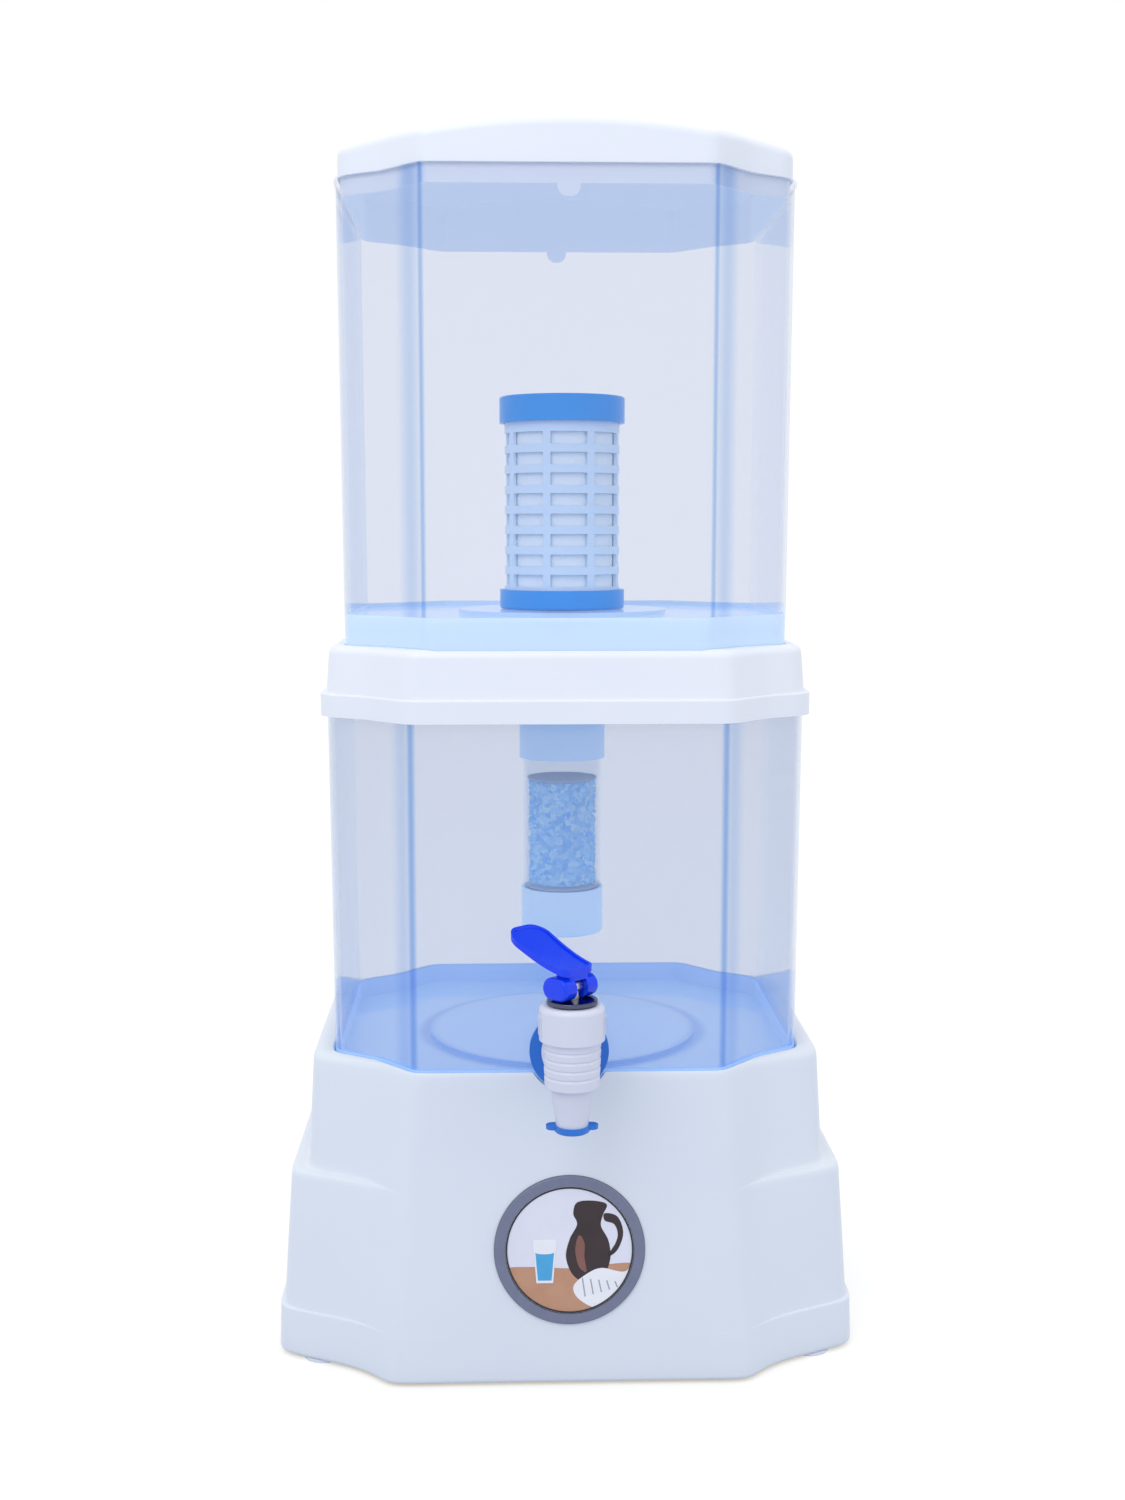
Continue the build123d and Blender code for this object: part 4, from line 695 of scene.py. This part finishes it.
def cast(name, tree, sizes):
    """Plain mesh piece that a recipe makes for these sizes, in place on the tanks' middle line."""
    piece = placed(name, bpy.data.meshes.new(name))
    modifier = piece.modifiers.new("recipe", "NODES")
    modifier.node_group = tree
    for socket in tree.interface.items_tree:
        if socket.in_out == "INPUT":
            modifier[socket.identifier] = sizes[socket.name]
    piece.update_tag()
    settled(piece)
    piece.data.transform(Matrix.Translation((0, AXIS_Y, 0)))
    return piece


def point_round(tree, reach, turn, height):
    """Place at a reach from the middle line, at a turn round it and at a height."""
    across = add(tree, "ShaderNodeMath", {0: turn}, operation="COSINE")
    along = add(tree, "ShaderNodeMath", {0: turn}, operation="SINE")
    across = add(tree, "ShaderNodeMath", {0: reach, 1: across}, operation="MULTIPLY")
    along = add(tree, "ShaderNodeMath", {0: reach, 1: along}, operation="MULTIPLY")
    return add(tree, "ShaderNodeCombineXYZ", {"X": across, "Y": along, "Z": height})


def moved(tree, geometry, axis, by):
    """Geometry moved along one axis."""
    shift = add(tree, "ShaderNodeCombineXYZ", {axis: by})
    return add(tree, "GeometryNodeTransform", {0: geometry, "Translation": shift})


# Polypropylene, natural: milky bluish white, and light shows softly at its edges.
cage_polypropylene = moulded("milky_polypropylene", "#DEEFFF", "#D3E8FC", 0.42, 0.8)
cage_pitch = (CAGE_LAST - CAGE_FIRST + CAGE_HOOP) / CAGE_ROWS
cage_sizes = {
    "Radius": CAGE_RADIUS / 1000, "Wall": CAGE_WALL / 1000, "Rows": CAGE_ROWS,
    "Columns": CAGE_COLUMNS, "Hoop": CAGE_HOOP / 1000, "Bar": CAGE_BAR / 1000,
    "Pitch": cage_pitch / 1000, "Low": CAGE_LOW / 1000,
    "First": (CAGE_FIRST - CAGE_HOOP / 2) / 1000, "High": CAGE_HIGH / 1000,
    "Turn": math.radians(CAGE_FIRST_BAR)}
tree, size = recipe("slotted_cage", cage_sizes)

# One flat cell: the bars round a window.
around = add(tree, "ShaderNodeMath", {0: size["Radius"], 1: 2 * math.pi}, operation="MULTIPLY")
cell_width = add(tree, "ShaderNodeMath", {0: around, 1: size["Columns"]}, operation="DIVIDE")
window_width = add(tree, "ShaderNodeMath", {0: cell_width, 1: size["Bar"]}, operation="SUBTRACT")
window_height = add(tree, "ShaderNodeMath", {0: size["Pitch"], 1: size["Hoop"]},
                    operation="SUBTRACT")
cell = add(tree, "GeometryNodeCurvePrimitiveQuadrilateral", {"Width": cell_width,
                                                             "Height": size["Pitch"]})
cell = add(tree, "GeometryNodeSubdivideCurve", {0: cell, "Cuts": 12})
window = add(tree, "GeometryNodeCurvePrimitiveQuadrilateral", {"Width": window_width,
                                                               "Height": window_height})
window = add(tree, "GeometryNodeSubdivideCurve", {0: window, "Cuts": 8})
window = add(tree, "GeometryNodeFilletCurve", {0: window, "Count": 3, "Radius": 0.0006,
                                               "Limit Radius": True}, mode="POLY")
outlines = add(tree, "GeometryNodeJoinGeometry", {0: [cell, window]})
bars = add(tree, "GeometryNodeFillCurve", {0: outlines})

# Rows and columns of cells, with a plain band below and above, as one flat sheet.
last_column = add(tree, "ShaderNodeMath", {0: size["Columns"], 1: 1}, operation="SUBTRACT")
last_row = add(tree, "ShaderNodeMath", {0: size["Rows"], 1: 1}, operation="SUBTRACT")
grid_width = add(tree, "ShaderNodeMath", {0: cell_width, 1: last_column}, operation="MULTIPLY")
grid_height = add(tree, "ShaderNodeMath", {0: size["Pitch"], 1: last_row}, operation="MULTIPLY")
places = add(tree, "GeometryNodeMeshGrid", {
    "Size X": grid_width, "Size Y": grid_height, "Vertices X": size["Columns"],
    "Vertices Y": size["Rows"]})
cells = add(tree, "GeometryNodeInstanceOnPoints", {0: places, "Instance": bars})
rows_high = add(tree, "ShaderNodeMath", {0: size["Pitch"], 1: size["Rows"]}, operation="MULTIPLY")
top_edge = add(tree, "ShaderNodeMath", {0: size["First"], 1: rows_high}, operation="ADD")
half_high = add(tree, "ShaderNodeMath", {0: rows_high, 1: 2}, operation="DIVIDE")
middle = add(tree, "ShaderNodeMath", {0: size["First"], 1: half_high}, operation="ADD")
parts = [moved(tree, cells, "Y", middle)]
steps = add(tree, "ShaderNodeMath", {0: size["Columns"], 1: 13, 2: 1}, operation="MULTIPLY_ADD")
for low, high in ((size["Low"], size["First"]), (top_edge, size["High"])):
    tall = add(tree, "ShaderNodeMath", {0: high, 1: low}, operation="SUBTRACT")
    both = add(tree, "ShaderNodeMath", {0: high, 1: low}, operation="ADD")
    middle = add(tree, "ShaderNodeMath", {0: both, 1: 2}, operation="DIVIDE")
    band = add(tree, "GeometryNodeMeshGrid", {"Size X": around, "Size Y": tall, "Vertices X": steps,
                                              "Vertices Y": 2})
    parts.append(moved(tree, band, "Y", middle))
sheet = add(tree, "GeometryNodeJoinGeometry", {0: parts})
flat = add(tree, "GeometryNodeRealizeInstances", {0: sheet})

# The sheet is wrapped round the filter, closed at its seam and given its thickness.
here = add(tree, "ShaderNodeSeparateXYZ", {0: add(tree, "GeometryNodeInputPosition")}).outputs
angle = add(tree, "ShaderNodeMath", {0: here["X"], 1: size["Radius"]}, operation="DIVIDE")
angle = add(tree, "ShaderNodeMath", {0: angle, 1: size["Turn"]}, operation="ADD")
angle = add(tree, "ShaderNodeMath", {0: angle, 1: math.pi}, operation="ADD")
wrapped = point_round(tree, size["Radius"], angle, here["Y"])
skin = add(tree, "GeometryNodeSetPosition", {0: flat, "Position": wrapped})
skin = add(tree, "GeometryNodeMergeByDistance", {0: skin, "Distance": 0.00005})
inwards = add(tree, "ShaderNodeMath", {0: size["Wall"], 1: -1.0}, operation="MULTIPLY")
inside = add(tree, "GeometryNodeExtrudeMesh", {0: skin, "Individual": False,
                                               "Offset Scale": inwards})
inside = add(tree, "GeometryNodeFlipFaces", {0: inside})
shell = add(tree, "GeometryNodeJoinGeometry", {0: [skin, inside]})
shell = add(tree, "GeometryNodeMergeByDistance", {0: shell, "Distance": 0.00001})
finish_recipe(tree, shell, cage_polypropylene)
cage = cast("filter_cage_slots", tree, cage_sizes)
cage.data.shade_smooth()
cage.data.set_sharp_from_angle(angle=math.radians(34))
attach(cage, "sediment_filter")
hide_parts("filter_cage")

# Melt-blown polypropylene fibre: chalky pale blue, with the soft uneven lay of its threads.
fibre = moulded("melt_blown_fibre", "#F4FAFF", "#E8F3FD", 0.9, 1.6, grain=0.5, cloud=40.0)
finish_node("filter_core", fibre)
finish_node("filter_tube", cage_polypropylene)

# ---------------------------------------------------------------------------------------------
# Granule cartridge. A milky collar that screws to the filter's stud, a clear tube, a bed of
# mineral granules between two woven screens, and a slotted foot.

# Polypropylene, tinted: the milky blue of the collar and the foot. Its glow is painted light, for
# daylight that reaches them through the tanks.
collar_polypropylene = moulded("tinted_polypropylene", "#E6F6FF", "#DCF0FF", 0.38, 0.8, glow=0.2)
for name in ("cartridge_collar", "cartridge_foot"):
    finish_node(name, collar_polypropylene)
# Polystyrene, blue-tinted and clear: thin, so that the granules show through.
cartridge_plastic = clear_plastic("blue_tinted_polystyrene", "#FAFCFF", "#C6DFF8", (0.04, 0.2))
finish_node("cartridge_tube", cartridge_plastic)

BED_RADIUS, BED_LOW, BED_HEIGHT = 21.1, 250.5, 64.0
GRANULE = 2.9


def mineral(name, pale, deep, spot_mm):
    """Crushed mineral: matt, with spots from pale to deep blue from grain to grain. Its faint
    glow stands in for light that gets in between the grains."""
    material, tree = blank_material(name)
    place = add(tree, "ShaderNodeTexCoord").outputs["Object"]
    spots = add(tree, "ShaderNodeTexVoronoi", {"Vector": place, "Scale": 1000.0 / spot_mm})
    spread = add(tree, "ShaderNodeSeparateColor", {0: spots.outputs["Color"]})
    tint = add(tree, "ShaderNodeMix", {0: spread, 6: linear(deep), 7: linear(pale)},
               data_type="RGBA").outputs[2]
    dust = add(tree, "ShaderNodeTexNoise", {"Vector": place, "Scale": 2500.0})
    bump = add(tree, "ShaderNodeBump", {"Height": dust, "Strength": 0.4, "Distance": 0.0003})
    skin = add(tree, "ShaderNodeBsdfPrincipled", {
        "Base Color": tint, "Roughness": 0.8, "Emission Color": tint, "Emission Strength": 0.16,
        "Normal": bump})
    add(tree, "ShaderNodeOutputMaterial", {"Surface": skin})
    return material


# Mineral granules of about 3 mm, pale and mid blue mixed, so the bed looks mottled.
granule_mineral = mineral("blue_mineral_granules", "#D0F1FF", "#72C6FC", 3.0)
bed_sizes = {"Radius": BED_RADIUS / 1000, "Low": BED_LOW / 1000, "Height": BED_HEIGHT / 1000,
             "Granule": GRANULE / 1000, "Count": 1500, "Seed": 7}
tree, size = recipe("granule_bed", bed_sizes)

# Places of the grains: all round, at all heights, in a layer under the tube's wall.
seeds = [add(tree, "ShaderNodeMath", {0: size["Seed"], 1: k}, operation="ADD") for k in range(5)]
turn = add(tree, "FunctionNodeRandomValue", {"Max": 2 * math.pi, "Seed": seeds[0]},
           data_type="FLOAT").outputs[1]
level = add(tree, "FunctionNodeRandomValue", {"Seed": seeds[1]}, data_type="FLOAT").outputs[1]
inset = add(tree, "FunctionNodeRandomValue", {"Min": 0.55, "Max": 1.1, "Seed": seeds[2]},
            data_type="FLOAT").outputs[1]
inset = add(tree, "ShaderNodeMath", {0: size["Granule"], 1: inset}, operation="MULTIPLY")
reach = add(tree, "ShaderNodeMath", {0: size["Radius"], 1: inset}, operation="SUBTRACT")
room = add(tree, "ShaderNodeMath", {0: size["Height"], 1: size["Granule"]}, operation="SUBTRACT")
half_grain = add(tree, "ShaderNodeMath", {0: size["Granule"], 1: 2}, operation="DIVIDE")
rise = add(tree, "ShaderNodeMath", {0: room, 1: level}, operation="MULTIPLY")
rise = add(tree, "ShaderNodeMath", {0: rise, 1: half_grain}, operation="ADD")
height = add(tree, "ShaderNodeMath", {0: size["Low"], 1: rise}, operation="ADD")
spot = point_round(tree, reach, turn, height)
spots = add(tree, "GeometryNodePoints", {"Count": size["Count"], "Position": spot})

# Each grain is tumbled and squeezed its own way.
grain = add(tree, "GeometryNodeMeshIcoSphere", {"Radius": half_grain, "Subdivisions": 1})
tumble = add(tree, "FunctionNodeRandomValue", {"Max": (6.28, 6.28, 6.28), "Seed": seeds[3]},
             data_type="FLOAT_VECTOR")
shape = add(tree, "FunctionNodeRandomValue", {"Min": (0.6, 0.6, 0.6), "Max": (1.0, 1.0, 1.0),
                                              "Seed": seeds[4]}, data_type="FLOAT_VECTOR")
grains = add(tree, "GeometryNodeInstanceOnPoints", {0: spots, "Instance": grain, "Rotation": tumble,
                                                    "Scale": shape})

# A plain core fills the bed behind them.
core_inset = add(tree, "ShaderNodeMath", {0: size["Granule"], 1: 1.1}, operation="MULTIPLY")
core_radius = add(tree, "ShaderNodeMath", {0: size["Radius"], 1: core_inset}, operation="SUBTRACT")
core = add(tree, "GeometryNodeMeshCylinder", {"Vertices": 48, "Radius": core_radius, "Depth": room})
half_way = add(tree, "ShaderNodeMath", {0: size["Height"], 1: 2}, operation="DIVIDE")
half_way = add(tree, "ShaderNodeMath", {0: size["Low"], 1: half_way}, operation="ADD")
core = moved(tree, core, "Z", half_way)
bed = add(tree, "GeometryNodeJoinGeometry", {0: [grains, core]})
finish_recipe(tree, bed, granule_mineral)
granules = cast("granule_bed", tree, bed_sizes)
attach(granules, "granule_cartridge")
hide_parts("cartridge_granules")

SCREEN_RADIUS, SCREEN_THICK = 21.1, 1.2
THREAD, THREAD_PITCH = 0.5, 1.6  # a real screen is finer; this is as coarse as shows

# Nylon monofilament, natural: pale and slightly glossy.
screen_nylon = moulded("nylon_thread", "#E2EAF6", "#D6E0F0", 0.4, 0.8)
screen_sizes = {
    "Radius": SCREEN_RADIUS / 1000, "Thick": SCREEN_THICK / 1000, "Thread": THREAD / 1000,
    "Pitch": THREAD_PITCH / 1000, "Low": BED_LOW / 1000, "High": (BED_LOW + BED_HEIGHT) / 1000}
tree, size = recipe("woven_screens", screen_sizes)

# A row of points across the screen, and at each a thread as long as the screen is wide there.
span = add(tree, "ShaderNodeMath", {0: size["Radius"], 1: size["Thread"]}, operation="SUBTRACT")
per_half = add(tree, "ShaderNodeMath", {0: span, 1: size["Pitch"]}, operation="DIVIDE")
per_half = add(tree, "ShaderNodeMath", {0: per_half}, operation="FLOOR")
count = add(tree, "ShaderNodeMath", {0: per_half, 1: 2, 2: 1}, operation="MULTIPLY_ADD")
start = add(tree, "ShaderNodeMath", {0: per_half, 1: size["Pitch"]}, operation="MULTIPLY")
start = add(tree, "ShaderNodeMath", {0: start, 1: -1.0}, operation="MULTIPLY")
start = add(tree, "ShaderNodeCombineXYZ", {"X": start})
step = add(tree, "ShaderNodeCombineXYZ", {"X": size["Pitch"]})
line = add(tree, "GeometryNodeMeshLine", {"Count": count, "Start Location": start, "Offset": step},
           mode="OFFSET")
half_thread = add(tree, "ShaderNodeMath", {0: size["Thread"], 1: 2}, operation="DIVIDE")
thread = add(tree, "GeometryNodeMeshCylinder", {"Vertices": 6, "Radius": half_thread, "Depth": 1.0})
thread = add(tree, "GeometryNodeTransform", {0: thread, "Rotation": (math.pi / 2, 0.0, 0.0)})
here = add(tree, "ShaderNodeSeparateXYZ", {0: add(tree, "GeometryNodeInputPosition")}).outputs
span_square = add(tree, "ShaderNodeMath", {0: span, 1: span}, operation="MULTIPLY")
off_square = add(tree, "ShaderNodeMath", {0: here["X"], 1: here["X"]}, operation="MULTIPLY")
chord = add(tree, "ShaderNodeMath", {0: span_square, 1: off_square}, operation="SUBTRACT")
chord = add(tree, "ShaderNodeMath", {0: chord}, operation="SQRT")
chord = add(tree, "ShaderNodeMath", {0: chord, 1: 2.0}, operation="MULTIPLY")
stretch = add(tree, "ShaderNodeCombineXYZ", {"X": 1.0, "Y": chord, "Z": 1.0})
warp = add(tree, "GeometryNodeInstanceOnPoints", {0: line, "Instance": thread, "Scale": stretch})

# The cross threads lie over them, and a hoop holds all their ends.
lift = add(tree, "ShaderNodeMath", {0: size["Thread"], 1: 2.4}, operation="DIVIDE")
lift = add(tree, "ShaderNodeCombineXYZ", {"Z": lift})
weft = add(tree, "GeometryNodeTransform", {0: warp, "Translation": lift,
                                           "Rotation": (0.0, 0.0, math.pi / 2)})
hoop_line = add(tree, "GeometryNodeCurvePrimitiveCircle", {"Resolution": 48, "Radius": span})
hoop_round = add(tree, "GeometryNodeCurvePrimitiveCircle", {"Resolution": 8,
                                                            "Radius": size["Thread"]})
hoop = add(tree, "GeometryNodeCurveToMesh", {0: hoop_line, "Profile Curve": hoop_round})
disc = add(tree, "GeometryNodeJoinGeometry", {0: [warp, weft, hoop]})

# One screen under the bed and one over it.
half_thick = add(tree, "ShaderNodeMath", {0: size["Thick"], 1: 2}, operation="DIVIDE")
under = add(tree, "ShaderNodeMath", {0: size["Low"], 1: half_thick}, operation="SUBTRACT")
over = add(tree, "ShaderNodeMath", {0: size["High"], 1: half_thick}, operation="ADD")
pair = [moved(tree, disc, "Z", level) for level in (under, over)]
finish_recipe(tree, add(tree, "GeometryNodeJoinGeometry", {0: pair}), screen_nylon)
screens = cast("woven_screens", tree, screen_sizes)
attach(screens, "granule_cartridge")
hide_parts("cartridge_top_screen", "cartridge_bottom_screen")

# ---------------------------------------------------------------------------------------------
# Lid. One white moulding whose dome curves less from side to side than from front to back; its
# skirt drops inside the upper tank's rim.
LID_EDGE_Z = 647.2  # just under the outer wall, so that only the inner skirt is below
LID_GLOW, SKIRT_SHARE = 0.15, 0.15

# The same polypropylene as the cover, drawn the same shade lighter than the stand, which stands in
# for brighter light higher up. The real wall lets daylight through to its inside, which a thin
# painted glow stands in for, on faces that look down or inwards and a little on the skirt.
lid_polypropylene = moulded("lid_polypropylene", "#ECF0F9", "#E7ECF6", 0.36, 0.9)
tree = lid_polypropylene.node_tree
facts = add(tree, "ShaderNodeNewGeometry").outputs
place = add(tree, "ShaderNodeTexCoord").outputs["Object"]
place = add(tree, "ShaderNodeSeparateXYZ", {0: place}).outputs
off_axis = add(tree, "ShaderNodeMath", {0: place["Y"], 1: AXIS_Y}, operation="SUBTRACT")
outward = add(tree, "ShaderNodeCombineXYZ", {"X": place["X"], "Y": off_axis})
outward = add(tree, "ShaderNodeVectorMath", {0: facts["Normal"], 1: outward},
              operation="DOT_PRODUCT").outputs["Value"]
inward = add(tree, "ShaderNodeMath", {0: outward, 1: -0.02}, operation="LESS_THAN")
down = add(tree, "ShaderNodeSeparateXYZ", {0: facts["Normal"]}).outputs["Z"]
down = add(tree, "ShaderNodeMapRange", {"Value": down, "From Min": -0.3, "From Max": -0.8})
skirt = add(tree, "ShaderNodeMath", {0: place["Z"], 1: LID_EDGE_Z / 1000}, operation="LESS_THAN")
skirt = add(tree, "ShaderNodeMath", {0: skirt, 1: SKIRT_SHARE}, operation="MULTIPLY")
glow = add(tree, "ShaderNodeMath", {0: down, 1: inward}, operation="MAXIMUM")
glow = add(tree, "ShaderNodeMath", {0: glow, 1: skirt}, operation="MAXIMUM")
glow = add(tree, "ShaderNodeMath", {0: glow, 1: LID_GLOW}, operation="MULTIPLY")
skin = next(node for node in tree.nodes if node.type == "BSDF_PRINCIPLED")
skin.inputs["Emission Color"].default_value = linear("#EEFBFA")
tree.links.new(glow.outputs[0], skin.inputs["Emission Strength"])
finish_node("top_lid", lid_polypropylene)

# ---------------------------------------------------------------------------------------------
# Studio: camera, white floor that takes a soft shadow, white surroundings, three soft lamps.
camera_data = bpy.data.cameras.new("camera")
camera_data.sensor_fit = "VERTICAL"
camera_data.sensor_height = 36.0
camera_data.lens = 43.2
camera = bpy.data.objects.new("camera", camera_data)
camera.location = (-0.03305, -1.0645 + AXIS_Y, 0.4615)
camera.rotation_euler = (math.radians(90 - 6.97), 0.0, math.radians(-1.792))
bpy.context.scene.collection.objects.link(camera)
bpy.context.scene.camera = camera

# Matt paper. What the camera sees of it glows, so that it fills up to white and keeps the shadow.
FLOOR_REACH = 8.0
paper, tree = blank_material("white_paper_floor")
path = add(tree, "ShaderNodeLightPath").outputs
matt = add(tree, "ShaderNodeBsdfDiffuse", {"Color": linear("#BBC3D4")})
glow = add(tree, "ShaderNodeEmission", {"Color": (0.543, 0.497, 0.377, 1), "Strength": 1.0})
seen = add(tree, "ShaderNodeMath", {0: path["Is Camera Ray"], 1: path["Is Glossy Ray"]},
           operation="MAXIMUM")
seen = add(tree, "ShaderNodeMath", {0: seen, 1: path["Is Transmission Ray"]}, operation="MAXIMUM")
lit = add(tree, "ShaderNodeAddShader", {0: matt, 1: glow})
both = add(tree, "ShaderNodeMixShader", {0: seen, 1: matt, 2: lit})
add(tree, "ShaderNodeOutputMaterial", {"Surface": both})
floor_mesh = bpy.data.meshes.new("floor")
corners = [(x * FLOOR_REACH, y * FLOOR_REACH, 0) for x, y in ((-1, -1), (1, -1), (1, 1), (-1, 1))]
floor_mesh.from_pydata(corners, [], [(0, 1, 2, 3)])
placed("floor", floor_mesh, paper)

world = bpy.data.worlds.new("studio")
bpy.context.scene.world = world
world.use_nodes = True
tree = world.node_tree
tree.nodes.clear()
sky = add(tree, "ShaderNodeBackground", {"Color": (1, 1, 1, 1), "Strength": 1.0})
add(tree, "ShaderNodeOutputWorld", {"Surface": sky})


def lamp(name, place, target, size, watts):
    """Soft box that looks from a place at a target."""
    data = bpy.data.lights.new(name, "AREA")
    data.shape = "RECTANGLE"
    data.size, data.size_y = size
    data.energy = watts
    soft_box = bpy.data.objects.new(name, data)
    soft_box.location = place
    soft_box.rotation_euler = (Vector(target) - Vector(place)).to_track_quat("-Z", "Y").to_euler()
    bpy.context.scene.collection.objects.link(soft_box)


lamp("key", (-0.5, -1.1, 1.5), (0, 0, 0.65), (0.8, 0.8), 5)
lamp("fill", (1.6, -1.2, 0.9), (0, 0, 0.3), (1.2, 1.2), 1)
lamp("top", (0, 0.3, 2.1), (0, 0, 0.3), (1.2, 1.2), 2)

bpy.context.scene.view_settings.view_transform = "Standard"
